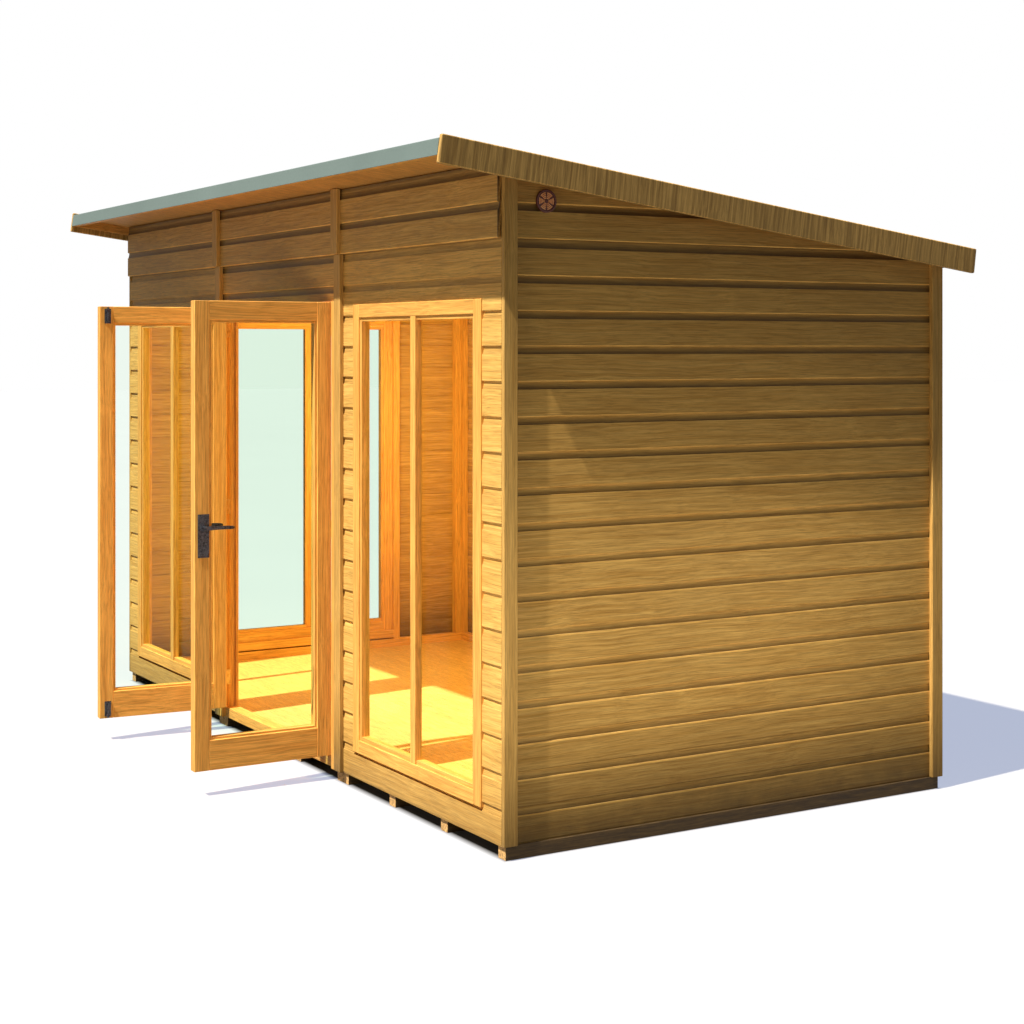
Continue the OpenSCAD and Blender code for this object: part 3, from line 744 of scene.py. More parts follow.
@dataclass(frozen=True)
class Shiplap:
    """Section of a shiplap board: flat face, narrow ledge, scooped neck and a tongue behind the next lip."""

    pitch: float = 112 * MM
    neck: float = 25 * MM
    ledge: float = 3 * MM
    depth: float = 7 * MM
    thick: float = 14 * MM
    tongue: float = 8 * MM
    # painted_shade darkens the neck and the line at the ledge: painted shade in the recess under each lip. glow paints
    # a highlight on the lip of high boards and on the ledge of low ones. neck_foot and neck_top set the painted shade
    # at the foot and the top of the neck.
    painted_shade: float = 1.0
    glow: float = 0.75
    # ends darkens the last 4 mm at each end of a board: painted shade where it meets a trim or frame.
    ends: float = 0.3
    top: float = 1.9
    neck_foot: float = 0.46
    neck_top: float = 1.5

    def keys(self, rise: float = 0.5) -> tuple[np.ndarray, np.ndarray, np.ndarray, np.ndarray]:
        """Heights up the board, with the front's and the back's depth and the tone at each.

        The neck's depth grows from the ledge to full depth as a quarter sine, and its painted shade from dark at the
        ledge to pale under the next lip. Low boards get a painted highlight on the ledge, high ones a painted highlight
        on the lip and more painted shade in the neck.
        Args:
            rise: the board's place, 0 at the foot of the wall and 1 at its top.
        Returns:
            Heights, front depths, back depths and tones.
        """
        face = self.pitch - self.neck
        t = np.linspace(0, 1, 6)
        neck_z = face + 0.6 * MM + t * (self.neck - 0.6 * MM)
        neck_o = self.ledge + (self.depth - self.ledge) * np.sin(t * math.pi / 2)
        deep = self.neck_foot - 0.2 * rise
        lift = self.neck_top - 0.8 * min(1.0, max(0.0, 2 * rise - 1))
        # Painted shade in the neck: darkest at the ledge, paling up to the next lip.
        neck_tone = 1 - self.painted_shade * (1 - deep - (lift - deep) * t ** (0.9 + 0.8 * rise))
        z = np.concatenate([[0, 2.5 * MM, 3.2 * MM, face - 6 * MM, face - 5 * MM, face - 0.3 * MM, face], neck_z,
                            [self.pitch + 0.2 * MM, self.pitch + self.tongue]])
        front = np.concatenate([[1.5 * MM, 0, 0, 0, 0, 0, self.ledge * 0.9], neck_o, [self.depth, self.depth]])
        # lip and sill are painted highlights on the lip of high boards and on the ledge of low ones. dark is a painted
        # shade line at the ledge, and the tongue's 0.6 and 0.4 are painted shade behind the next lip.
        lip, dark = 1 + 1.3 * self.glow * rise ** 2.5, 1 - 0.7 * self.painted_shade
        sill = 1 + min(1.6 * self.glow * (1 - rise) ** 3, 0.9)
        tone = np.concatenate([[lip, lip, 1, 1, sill, sill, dark], neck_tone, [0.6, 0.4]])
        lip = self.tongue + 0.5 * MM
        back = np.interp(z, [0, lip, lip + 1 * MM, self.pitch + self.tongue - 1 * MM, self.pitch + self.tongue],
                         [self.depth, self.depth, self.thick, self.thick, self.thick - 1 * MM])
        return z, front, back, tone

    def board(self, batch: Batch, face: Face, a: np.ndarray, base: float, low: float, high: np.ndarray,
              shift: np.ndarray) -> None:
        """One stretch of a board between the stations a, cut level at low and at high.

        At each station the heights are clamped to the cut, and front and back depths are read there.
        Args:
            batch: receives the shell.
            face: the wall.
            a: stations along the wall.
            base: height of the board's lip.
            low: lowest height that is left.
            high: highest height that is left, for each station.
            shift: offset of the board's figure.
        """
        z, front, back, tone = self.keys()
        z = np.union1d(z, [low - base])
        high = np.broadcast_to(high, a.shape) - base
        use = z[(z >= low - base) & (z <= high.max() + 1e-9)]
        if high.max() > use[-1] + 1e-6:
            use = np.append(use, high.max())
        level = np.minimum(use[None, :], high[:, None])
        keys = self.keys(float(np.clip(base / self.top, 0, 1)))
        depth_f = np.interp(level, keys[0], keys[1])
        depth_b = np.interp(level, keys[0], keys[2])
        shade = np.interp(level, keys[0], keys[3])
        from_end = np.minimum(a - a[0], a[-1] - a)
        # Painted shade at the board's ends.
        shade *= np.where(from_end < 4 * MM, self.ends, 1.0)[:, None]
        up = np.concatenate([level, level[:, ::-1]], 1)
        out = -np.concatenate([depth_f, depth_b[:, ::-1]], 1)
        tones = np.concatenate([shade, np.ones_like(shade)], 1)
        run = np.broadcast_to(a[:, None], up.shape)
        rings = (face.origin + run[..., None] * face.along + out[..., None] * face.out
                 + (up + base)[..., None] * Z)
        batch.shell(rings, np.stack([run, up, out], -1) + shift, tones)

    def panel(self, batch: Batch, face: Face, span: tuple[float, float], low: float, high: float, start: float,
              hole: Optional[tuple[float, float, float, float]] = None,
              top: Optional[Callable[[np.ndarray], np.ndarray]] = None) -> None:
        """A panel of boards, notched round a hole and cut off along a sloping top.

        Args:
            batch: receives the shells.
            face: the wall.
            span: its ends along the wall.
            low: its foot.
            high: its top.
            start: height of the lowest board's lip.
            hole: a0, a1, z0 and z1 of an opening.
            top: height of a sloping top at each place along the wall.
        """
        count = int(math.ceil((high - start - 20 * MM) / self.pitch))
        for i in range(count):
            base = start + i * self.pitch
            foot = low if i == 0 else base
            crown = high if i == count - 1 else min(base + self.pitch + self.tongue, high)
            shift = RNG.uniform(0, 40, 3)
            for a0, a1, z0, z1 in self.stretches(span, foot, crown, hole):
                a, ceiling = np.array([a0, a0 + 3 * MM, a0 + 5 * MM, a1 - 5 * MM, a1 - 3 * MM, a1]), z1
                if top is not None:
                    a, ceiling = self.sloping(a0, a1, base, z0, z1, top)
                    if len(a) < 2:
                        continue
                self.board(batch, face, a, base, z0, ceiling, shift)

    @staticmethod
    def stretches(span: tuple[float, float], foot: float, crown: float,
                  hole: Optional[tuple[float, float, float, float]]) -> list[tuple[float, float, float, float]]:
        """Parts of a board's rectangle that a hole leaves: beside it, below it and above it."""
        if hole is None or hole[3] <= foot or hole[2] >= crown:
            return [(*span, foot, crown)]
        a0, a1, z0, z1 = hole
        parts = [(span[0], a0, foot, crown), (a1, span[1], foot, crown)]
        if z0 > foot:
            parts.append((a0, a1, foot, z0))
        if z1 < crown:
            parts.append((a0, a1, z1, crown))
        return parts

    def sloping(self, a0: float, a1: float, base: float, foot: float, crown: float,
                top: Callable[[np.ndarray], np.ndarray]) -> tuple[np.ndarray, np.ndarray]:
        """Stations where a falling top crosses each height of the section, and the top there."""
        a = np.linspace(a0, a1, 200)
        least = foot + 1 * MM
        levels = np.append(base + self.keys()[0], least)
        cuts = np.interp(-levels, -top(a), a)
        inside = cuts[(cuts > a0 + 1e-4) & (cuts < a1 - 1e-4)]
        stations = np.unique(np.concatenate([[a0, a0 + 3 * MM, a0 + 5 * MM, a1], inside]))
        stations = stations[top(stations) > least - 1e-5]
        return stations, np.minimum(top(stations), crown)


@dataclass
class Cladding:
    """All of the shiplap boarding."""

    boards: Shiplap = Shiplap()
    # The sunlit front gets less painted shade and highlight, and no painted shade at the board ends.
    sunny: Shiplap = Shiplap(painted_shade=0.5, glow=0.1, ends=1.0)
    first: float = 3 * MM
    slot: float = 13 * MM

    def build(self) -> None:
        """Builds every clad face."""
        self.side(+1, "right_wall_cladding", None)
        self.side(-1, "left_wall_cladding", "window_frame_side")
        self.back()
        self.gables()
        for name, window in (("front_cladding_left", "window_frame_left"),
                             ("front_cladding_right", "window_frame_right")):
            self.front(name, window)
        self.door_head()
        self.upper_front()

    def dressed(self, batch: Batch, node: str, weld: bool = False) -> None:
        """Makes the object of a clad face, named after the node that it replaces."""
        obj = batch.to_object(node.replace("cladding", "boards"), weld=weld)
        dress(obj, FINISH.sunny if node.startswith("front") else FINISH.boards, "cladding_wood", "house", node)

    def side(self, sign: int, node: str, window: Optional[str]) -> None:
        """A side wall's main panel."""
        box, batch = Box.cad(node), Batch()
        x = box.hi[0] if sign > 0 else box.lo[0]
        hole = None
        if window:
            w = Box.cad(window)
            hole = (w.lo[1], w.hi[1], w.lo[2], w.hi[2])
        face = Face(np.array([x, 0, 0]), Y, sign * X)
        self.boards.panel(batch, face, (box.lo[1], box.hi[1]), box.lo[2], box.hi[2], box.lo[2] + self.first, hole)
        self.dressed(batch, node)

    def back(self) -> None:
        """The back wall's three panels."""
        box, batch = Box.cad("back_wall_cladding"), Batch()
        joint = Box.cad("door_frame").hi[0]
        face = Face(np.array([0, box.hi[1], 0]), X, Y)
        for span in ((box.lo[0], -joint - 2 * MM), (-joint, joint), (joint + 2 * MM, box.hi[0])):
            self.boards.panel(batch, face, span, box.lo[2], box.hi[2], box.lo[2] + self.first)
        self.dressed(batch, "back_wall_cladding")

    def gables(self) -> None:
        """The two wedges under the roof."""
        box, batch = Box.cad("gable_cladding"), Batch()
        for sign in (-1, 1):
            face = Face(np.array([box.hi[0] * sign, 0, 0]), Y, sign * X)
            self.boards.panel(batch, face, (box.lo[1], box.hi[1]), box.lo[2], box.hi[2], box.lo[2], top=ROOF.height)
        self.dressed(batch, "gable_cladding", weld=True)

    def front(self, node: str, window: str) -> None:
        """A front outer panel with its window's opening."""
        box, w, batch = Box.cad(node), Box.cad(window), Batch()
        face = Face(np.array([0, box.lo[1], 0]), X, -Y)
        hole = (w.lo[0], w.hi[0], w.lo[2] - self.slot, w.hi[2])
        self.sunny.panel(batch, face, (box.lo[0], box.hi[0]), box.lo[2], box.hi[2], box.lo[2] + self.first, hole)
        self.dressed(batch, node)

    def door_head(self) -> None:
        """Boards above the doors, in line with the panels beside them."""
        box, batch = Box.cad("door_head_cladding"), Batch()
        side = Box.cad("front_cladding_right")
        rows = math.floor((box.lo[2] - side.lo[2] - self.first) / self.boards.pitch)
        start = side.lo[2] + self.first + rows * self.boards.pitch
        face = Face(np.array([0, box.lo[1], 0]), X, -Y)
        self.boards.panel(batch, face, (box.lo[0], box.hi[0]), box.lo[2], box.hi[2], start)
        self.dressed(batch, "door_head_cladding")

    def upper_front(self) -> None:
        """The upper front section's three panels, cut off under the roof."""
        box, batch = Box.cad("upper_front_cladding"), Batch()
        joint = Box.cad("door_frame").hi[0]
        face = Face(np.array([0, box.lo[1], 0]), X, -Y)
        high = float(ROOF.height(box.hi[1])) - 4 * MM
        for span in ((box.lo[0], -joint - 2 * MM), (-joint, joint), (joint + 2 * MM, box.hi[0])):
            self.boards.panel(batch, face, span, box.lo[2], high, box.lo[2])
        self.dressed(batch, "upper_front_cladding")


# ---------------------------------------------------------------- framing, floor and trims
@dataclass
class Framing:
    """Studs and rails behind the boards."""

    stud: float = 35 * MM
    rail: float = 39 * MM

    def build(self) -> None:
        """Builds the frames of every wall."""
        self.right()
        self.left()
        self.back()
        self.front()
        self.upper()
        self.gables()

    def lattice(self, batch: Batch, lo: np.ndarray, hi: np.ndarray, axis: int, studs: list[float]) -> None:
        """Two rails with studs between them.

        Args:
            batch: receives the planks.
            lo: low corner of the frame.
            hi: high corner.
            axis: horizontal axis that it runs along.
            studs: middles of the studs on that axis.
        """
        for z0, z1 in ((lo[2], lo[2] + self.rail), (hi[2] - self.rail, hi[2])):
            bar(batch, [*lo[:2], z0], [*hi[:2], z1], axis)
        for middle in studs:
            a, b = lo.copy(), hi.copy()
            a[axis], b[axis] = middle - self.stud / 2, middle + self.stud / 2
            a[2], b[2] = lo[2] + self.rail, hi[2] - self.rail
            bar(batch, a, b, 2)

    def spread(self, low: float, high: float, count: int) -> list[float]:
        """Evenly spread stud middles, flush with both ends."""
        return list(np.linspace(low + self.stud / 2, high - self.stud / 2, count))

    def around(self, batch: Batch, lo: np.ndarray, hi: np.ndarray, axis: int, window: Box) -> None:
        """A lattice with studs and two short rails round a window."""
        side = self.stud / 2
        studs = [lo[axis] + side, window.lo[axis] - side, window.hi[axis] + side, hi[axis] - side]
        self.lattice(batch, lo, hi, axis, studs)
        for z0, z1 in ((window.lo[2] - self.rail, window.lo[2]), (window.hi[2], window.hi[2] + self.rail)):
            a, b = lo.copy(), hi.copy()
            a[axis], b[axis], a[2], b[2] = window.lo[axis], window.hi[axis], z0, z1
            bar(batch, a, b, axis)

    def dressed(self, batch: Batch, node: str) -> None:
        """Makes the object that replaces a frame node."""
        dress(batch.to_object(node.replace("frame", "studs")), FINISH.framing, "framing_wood", "house", node)

    def right(self) -> None:
        """The right wall's frame."""
        box, batch = Box.cad("right_wall_frame"), Batch()
        self.lattice(batch, box.lo, box.hi, 1, self.spread(box.lo[1], box.hi[1], 6))
        self.dressed(batch, "right_wall_frame")

    def left(self) -> None:
        """The left wall's frame, round its window."""
        box, batch = Box.cad("left_wall_frame"), Batch()
        self.around(batch, box.lo, box.hi, 1, Box.cad("window_frame_side"))
        self.dressed(batch, "left_wall_frame")

    def thirds(self, box: Box) -> list[tuple[np.ndarray, np.ndarray]]:
        """Low and high corners of the three panels of a frame that spans the front or back."""
        joint = Box.cad("door_frame").hi[0]
        edges = [(box.lo[0], -joint - 2 * MM), (-joint, joint), (joint + 2 * MM, box.hi[0])]
        return [(np.array([a, *box.lo[1:]]), np.array([b, *box.hi[1:]])) for a, b in edges]

    def back(self) -> None:
        """The back wall's frames."""
        box, batch = Box.cad("back_wall_frame"), Batch()
        for lo, hi in self.thirds(box):
            self.lattice(batch, lo, hi, 0, self.spread(lo[0], hi[0], 4))
        self.dressed(batch, "back_wall_frame")

    def front(self) -> None:
        """The frames of the two outer front panels."""
        box, batch = Box.cad("front_frames"), Batch()
        parts = self.thirds(box)
        for (lo, hi), window in ((parts[0], "window_frame_left"), (parts[2], "window_frame_right")):
            self.around(batch, lo, hi, 0, Box.cad(window))
        self.dressed(batch, "front_frames")

    def upper(self) -> None:
        """The frames behind the upper front boards."""
        box, batch = Box.cad("upper_front_frame"), Batch()
        for lo, hi in self.thirds(box):
            self.lattice(batch, lo, hi, 0, self.spread(lo[0], hi[0], 4))
        self.dressed(batch, "upper_front_frame")

    def gables(self) -> None:
        """Foot rail, front post and sloping top rail of each gable."""
        box, batch = Box.cad("gable_frames"), Batch()
        depth = Box.cad("right_wall_frame").size[0]
        for x in (box.lo[0], box.hi[0] - depth):
            bar(batch, [x, box.lo[1], box.lo[2]], [x + depth, box.hi[1], box.lo[2] + self.rail], 1)
            top = float(ROOF.height(box.lo[1])) - self.rail
            bar(batch, [x, box.lo[1], box.lo[2] + self.rail], [x + depth, box.lo[1] + self.stud, top], 2,
                slope=(0, -ROOF.tan))
            start = ROOF.origin + ROOF.s * (box.lo[1] - ROOF.y0) / ROOF.s[1] - ROOF.n * self.rail
            start[0] = x
            length = (box.hi[1] - box.lo[1]) / ROOF.s[1]
            plank(batch, start, (ROOF.s, X, ROOF.n), (length, depth, self.rail))
        self.dressed(batch, "gable_frames")


@dataclass
class Floor:
    """Joists under three floor sections, and the floor boards across them."""

    joists: int = 4
    joist_w: float = 47 * MM
    gap: float = 2 * MM
    board: float = 119 * MM

    def build(self) -> None:
        """Builds joists and boards."""
        under, over = Box.cad("floor_joists"), Box.cad("floor_boards")
        width = (under.size[0] - 2 * self.gap) / 3
        batch, deck = Batch(), Batch()
        for i in range(3):
            x = under.lo[0] + i * (width + self.gap)
            for j in range(self.joists):
                left = x + j * (width - self.joist_w) / (self.joists - 1)
                bar(batch, [left, under.lo[1], 0], [left + self.joist_w, under.hi[1], under.hi[2]], 1, 2 * MM)
            a, b = max(x, over.lo[0]), min(x + width, over.hi[0])
            rows = round(over.size[1] / self.board)
            edges = np.linspace(over.lo[1], over.hi[1], rows + 1)
            for y0, y1 in zip(edges, edges[1:]):
                bar(deck, [a, y0, over.lo[2]], [b, y1, over.hi[2]], 0, 0.8 * MM)
        dress(batch.to_object("joists"), FINISH.joist, "joist_wood", "house", "floor_joists")
        dress(deck.to_object("deck_boards"), FINISH.floor, "floor_wood", "house", "floor_boards")


@dataclass
class Trims:
    """Corner trims and the strips over the panel joints."""

    def build(self) -> None:
        """Builds all trims and strips."""
        for side, node in ((-1, "corner_trims_left"), (1, "corner_trims_right")):
            self.corner(node)
        self.strips()

    def corner(self, node: str) -> None:
        """Two upright boards of a side wall, cut off along the roof."""
        box, batch = Box.cad(node), Batch()
        width = 50 * MM
        for y in (box.lo[1], box.hi[1] - width):
            height = float(ROOF.height(y)) - box.lo[2]
            plank(batch, [box.lo[0], y, box.lo[2]], (Z, Y, X), (height, width, box.size[0]), 2 * MM,
                  (-ROOF.tan, 0), edge_highlight=0.1)
        dress(batch.to_object(node.replace("corner_trims", "corner_boards")), FINISH.trim, "trim_wood", "house", node)

    def strips(self) -> None:
        """Strips on the front, lower and upper, and on the back."""
        joint = Box.cad("door_frame").hi[0] + 1 * MM
        front, back = Box.cad("front_cover_strips"), Box.cad("back_cover_strips")
        lower, upper = Box.cad("front_cladding_right"), Box.cad("upper_front_cladding")
        half, thick, gap = 27 * MM, back.size[1], 1 * MM
        batch, rear = Batch(), Batch()
        for x in (-joint, joint):
            plank(batch, [x - half, lower.lo[1] - thick, front.lo[2]], (Z, X, Y),
                  (upper.lo[2] - gap - front.lo[2], 2 * half, thick), 2 * MM)
            y = upper.lo[1] - thick
            plank(batch, [x - half, y, upper.lo[2] + gap], (Z, X, Y),
                  (float(ROOF.height(y)) - upper.lo[2] - gap - 3 * MM, 2 * half, thick), 2 * MM, (0, -ROOF.tan))
            y = back.lo[1]
            plank(rear, [x - half, y, back.lo[2]], (Z, X, Y),
                  (float(ROOF.height(y)) - back.lo[2], 2 * half, thick), 2 * MM, (0, -ROOF.tan))
        dress(batch.to_object("front_joint_strips"), FINISH.trim, "trim_wood", "house", "front_cover_strips")
        dress(rear.to_object("back_joint_strips"), FINISH.trim, "trim_wood", "house", "back_cover_strips")


# ---------------------------------------------------------------- joinery
@dataclass
class Sash:
    """A glazed frame: stiles, rails and a bead round each pane, in a plane given by two axes."""

    stile: float
    top: float
    foot: float
    bar: float = 0.0
    bead: float = 12 * MM
    step: float = 5 * MM
    radius: float = 2 * MM
    slim: float = 16 * MM
    # Painted highlight on the arrises.
    edge_highlight: float = 0.35

    def build(self, batch: Batch, box: Box, wide: int) -> None:
        """Planks of the frame inside its box.

        Args:
            batch: receives the planks.
            box: the frame's place.
            wide: axis of its width, 0 or 1.
        """
        deep = 1 - wide
        lo, hi = box.lo, box.hi

        def piece(a0: float, a1: float, z0: float, z1: float, along: int, inset: float = 0.0,
                  behind: float = 0.0) -> None:
            """One member between a0 and a1 across and z0 and z1 up, set back on both faces and more behind."""
            a, b = lo.copy(), hi.copy()
            a[wide], b[wide], a[2], b[2] = a0, a1, z0, z1
            a[deep] += inset
            b[deep] -= inset + behind
            bar(batch, a, b, along, self.radius if inset == 0 else 1 * MM, edge_highlight=self.edge_highlight)

        stile, top, foot = self.stile - self.bead, self.top - self.bead, self.foot - self.bead
        piece(lo[wide], lo[wide] + stile, lo[2], hi[2], 2)
        piece(hi[wide] - stile, hi[wide], lo[2], hi[2], 2)
        piece(lo[wide] + stile, hi[wide] - stile, lo[2], lo[2] + foot, wide)
        piece(lo[wide] + stile, hi[wide] - stile, hi[2] - top, hi[2], wide)
        z0, z1 = lo[2] + foot, hi[2] - top
        edges = [(lo[wide] + stile, hi[wide] - stile)]
        if self.bar:
            middle = box.mid[wide]
            half = self.bar / 2
            piece(middle - half, middle + half, z0, z1, 2, 1 * MM, self.slim)
            edges = [(edges[0][0], middle - half), (middle + half, edges[0][1])]
        for a0, a1 in edges:
            b0 = self.bead if a0 == lo[wide] + stile else 0.0
            b1 = self.bead if a1 == hi[wide] - stile else 0.0
            if b0:
                piece(a0, a0 + b0, z0, z1, 2, self.step)
            if b1:
                piece(a1 - b1, a1, z0, z1, 2, self.step)
            piece(a0 + b0, a1 - b1, z0, z0 + self.bead, wide, self.step)
            piece(a0 + b0, a1 - b1, z1 - self.bead, z1, wide, self.step)


@dataclass
class Windows:
    """The three two-pane windows."""

    sash: Sash = field(default_factory=lambda: Sash(62 * MM, 62 * MM, 62 * MM, 36 * MM, bead=14 * MM, step=6 * MM))

    def build(self) -> None:
        """Builds the frames and glazes them."""
        for node, wide in (("window_frame_left", 0), ("window_frame_right", 0), ("window_frame_side", 1)):
            batch = Batch()
            self.sash.build(batch, Box.cad(node), wide)
            dress(batch.to_object(node.replace("frame", "sash")), FINISH.joinery, "joinery_wood", "house", node)
        glaze("window_glass")


def glaze(node: str) -> None:
    """Gives packed panes their glass."""
    obj = frame["nodes"][node]
    obj.data.materials.clear()
    obj.data.materials.append(FINISH.get(FINISH.glass))


@dataclass
class Doorway:
    """Posts, head and sill of the doorway."""

    rail: float = 39 * MM
    stop: float = 12 * MM
    post: float = 55 * MM

    def build(self) -> None:
        """Builds the posts with their stops, the head, the top rail and the sill."""
        box, sill = Box.cad("door_frame"), Box.cad("door_sill")
        head = Box.cad("door_head_cladding").lo[2]
        boards = Box.cad("front_cladding_right")
        batch = Batch()
        inner = boards.hi[1]
        outer = box.hi[0]
        post = self.post - 1 * MM
        stop = box.lo[1] + Box.cad("right_door_frame").size[0] + 3.5 * MM
        for sign in (-1, 1):
            x0, x1 = sorted((sign * outer, sign * (outer - post)))
            bar(batch, [x0, box.lo[1], box.lo[2]], [x1, inner, head], 2, 2 * MM)
            bar(batch, [x0, inner, sill.lo[2] + 12 * MM], [x1, box.hi[1], box.hi[2]], 2, 2 * MM)
            lip = sorted((sign * (outer - post + 2.5 * MM), sign * (outer + 1 * MM - 27 * MM)))
            bar(batch, [lip[0], box.lo[1] - 14 * MM, sill.lo[2]], [lip[1], box.lo[1], head], 2)
            s0, s1 = sorted((sign * (outer - post), sign * (outer - post - self.stop)))
            bar(batch, [s0, stop, sill.hi[2]], [s1, box.hi[1], head], 2)
        for z in (head, box.hi[2] - self.rail):
            bar(batch, [-outer + post, inner, z], [outer - post, box.hi[1], z + self.rail], 0, 2 * MM)
        dress(batch.to_object("door_posts"), FINISH.joinery, "joinery_wood", "house", "door_frame")
        step = Batch()
        bar(step, sill.lo, [sill.hi[0], inner, sill.hi[2]], 0, 2 * MM)
        bar(step, [sill.lo[0], inner, sill.lo[2] + 12 * MM], sill.hi, 0, 2 * MM)
        dress(step.to_object("door_step"), FINISH.joinery, "joinery_wood", "house", "door_sill")


@dataclass
class Doors:
    """The two glazed leaves, standing open at rest."""

    sash: Sash = field(default_factory=lambda: Sash(66 * MM, 78 * MM, 118 * MM, bead=9 * MM, step=4 * MM, edge_highlight=0.9))

    def build(self) -> None:
        """Builds both leaves and glazes them."""
        right = Box.cad("right_door_frame")
        square = Box(np.array([-right.hi[0], *right.lo[1:]]), np.array([-right.lo[0], *right.hi[1:]]))
        hinge = {joint["name"]: joint for joint in frame["joints"]}
        extra = -math.radians(hinge["left_door_hinge"]["range_deg"][0] - hinge["right_door_hinge"]["range_deg"][0])
        for side in ("left", "right"):
            batch = Batch()
            self.sash.build(batch, right if side == "right" else square, 1)
            if side == "left":
                batch.turn(np.array(hinge["left_door_hinge"]["pos_m"]), -extra)
            dress(batch.to_object(f"{side}_leaf"), FINISH.joinery, "joinery_wood", f"{side}_door", f"{side}_door_frame")
            glaze(f"{side}_door_glass")


# ---------------------------------------------------------------- hardware
@dataclass
class Hardware:
    """Hinges, lock and bolts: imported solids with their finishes, lock plates and levers rebuilt in detail."""

    plate_radius: float = 2 * MM
    screw: float = 4 * MM

    def build(self) -> None:
        """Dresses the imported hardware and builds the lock."""
        for node in ("frame_hinge_leaves", "left_door_hinges", "right_door_hinges"):
            self.paint(node, FINISH.brass)
        for node in ("bolt_cases", "top_bolt", "bottom_bolt"):
            self.paint(node, FINISH.iron)
        self.plates()
        self.levers()

    def plates(self) -> None:
        """Two bevelled lock plates, each with four domed screws, a spindle rose and a keyhole."""
        box, lever = Box.cad("lock_plates"), Box.cad("lever_handles")
        leaf = Box.cad("right_door_frame")
        spindle = np.array([0, box.mid[1], lever.mid[2]])
        batch, holes = Batch(), Batch()
        for sign, x0, x1 in ((1, leaf.hi[0], box.hi[0]), (-1, box.lo[0], leaf.lo[0])):
            face = x1 if sign > 0 else x0
            bar(batch, [x0, box.lo[1], box.lo[2]], [x1, box.hi[1], box.hi[2]], 2, self.plate_radius)
            for y in (box.lo[1] + 7 * MM, box.hi[1] - 7 * MM):
                for z in (box.lo[2] + 8 * MM, box.hi[2] - 8 * MM):
                    self.dome(batch, np.array([face - sign * 0.3 * MM, y, z]), sign * X, self.screw)
            rose = [(0, 0.001 * MM), (0, 14 * MM), (1.5 * MM, 13.5 * MM), (3 * MM, 11 * MM), (3 * MM, 0.001 * MM)]
            lathe(batch, np.array([face - sign * 0.2 * MM, *spindle[1:]]), sign * X, Y, np.array(rose), 32)
            key = np.array([face - sign * 0.3 * MM, spindle[1], spindle[2] - 55 * MM])
            lathe(holes, key, sign * X, Y, np.array([(0, 0.001 * MM), (0, 4 * MM), (0.6 * MM, 4 * MM),
                                                     (0.6 * MM, 0.001 * MM)]), 20)
            low, high = sorted((key[0], key[0] + sign * 0.55 * MM))
            bar(holes, [low, key[1] - 1.7 * MM, key[2] - 13 * MM], [high, key[1] + 1.7 * MM, key[2]], 2, 0.2 * MM)
        dress(batch.to_object("lock_backplates"), FINISH.iron, "dark_iron", "right_door", "lock_plates")
        dress(holes.to_object("keyholes"), FINISH.shadow, "dark_iron", "right_door", "lock_plates")

    def dome(self, batch: Batch, centre: np.ndarray, axis: np.ndarray, radius: float) -> None:
        """A low domed head: its height falls with the cosine from the middle to the rim."""
        angle = np.linspace(0, math.pi / 2, 5)
        profile = np.stack([0.4 * radius * np.sin(angle), radius * np.cos(angle) + 0.001 * MM], -1)
        side = Y if abs(axis[1]) < 0.5 else X
        lathe(batch, centre, axis, side, np.concatenate([[[0, 0.001 * MM]], profile]), 16)

    def levers(self) -> None:
        """A lever on each side: a neck off the spindle that turns into a flat, slightly drooped grip.

        The section is a rounded rectangle carried along the path; its centre follows a quarter circle out of
        the plate and then a straight run towards the hinges.
        """
        box = Box.cad("lever_handles")
        leaf = Box.cad("right_door_frame")
        z = box.mid[2]
        y0 = Box.cad("lock_plates").mid[1]
        length = box.hi[1] - y0
        batch = Batch()
        for sign, outer, face in ((1, box.hi[0], leaf.hi[0]), (-1, box.lo[0], leaf.lo[0])):
            lathe(batch, [face, y0, z], sign * X, Y,
                  np.array([(0, 0.001 * MM), (0, 8 * MM), (abs(outer - face) - 6 * MM, 7.5 * MM),
                            (abs(outer - face) - 1.5 * MM, 7.5 * MM), (abs(outer - face) - 0.5 * MM, 6 * MM),
                            (abs(outer - face) - 0.5 * MM, 0.001 * MM)]), 32)
            t = np.linspace(0, 1, 14)
            along = y0 - 4 * MM + (length + 4 * MM - 1 * MM) * t
            drop = 1.5 * MM * np.sin(t * math.pi)
            middle = np.stack([np.full_like(t, outer - sign * 5 * MM), along, z + drop - 0.8 * MM], -1)
            wide = (7.6 - 1.6 * t) * MM * np.where((t == 0) | (t == 1), 0.6, 1.0)
            thick = (4.8 - 1.0 * t) * MM * np.where((t == 0) | (t == 1), 0.6, 1.0)
            turn = np.linspace(0, 2 * math.pi, 20, endpoint=False)
            form = np.stack([np.sign(np.cos(turn)) * np.abs(np.cos(turn)) ** 0.5,
                             np.sign(np.sin(turn)) * np.abs(np.sin(turn)) ** 0.5], -1)
            rings = (middle[:, None, :] + form[None, :, :1] * thick[:, None, None] * X
                     + form[None, :, 1:] * wide[:, None, None] * Z)
            batch.shell(rings)
        dress(batch.to_object("levers", smooth=False), FINISH.iron, "dark_iron", "lever", "lever_handles")

    def paint(self, node: str, finish: object) -> None:
        """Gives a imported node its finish."""
        obj = frame["nodes"][node]
        obj.data.materials.clear()
        obj.data.materials.append(FINISH.get(finish))


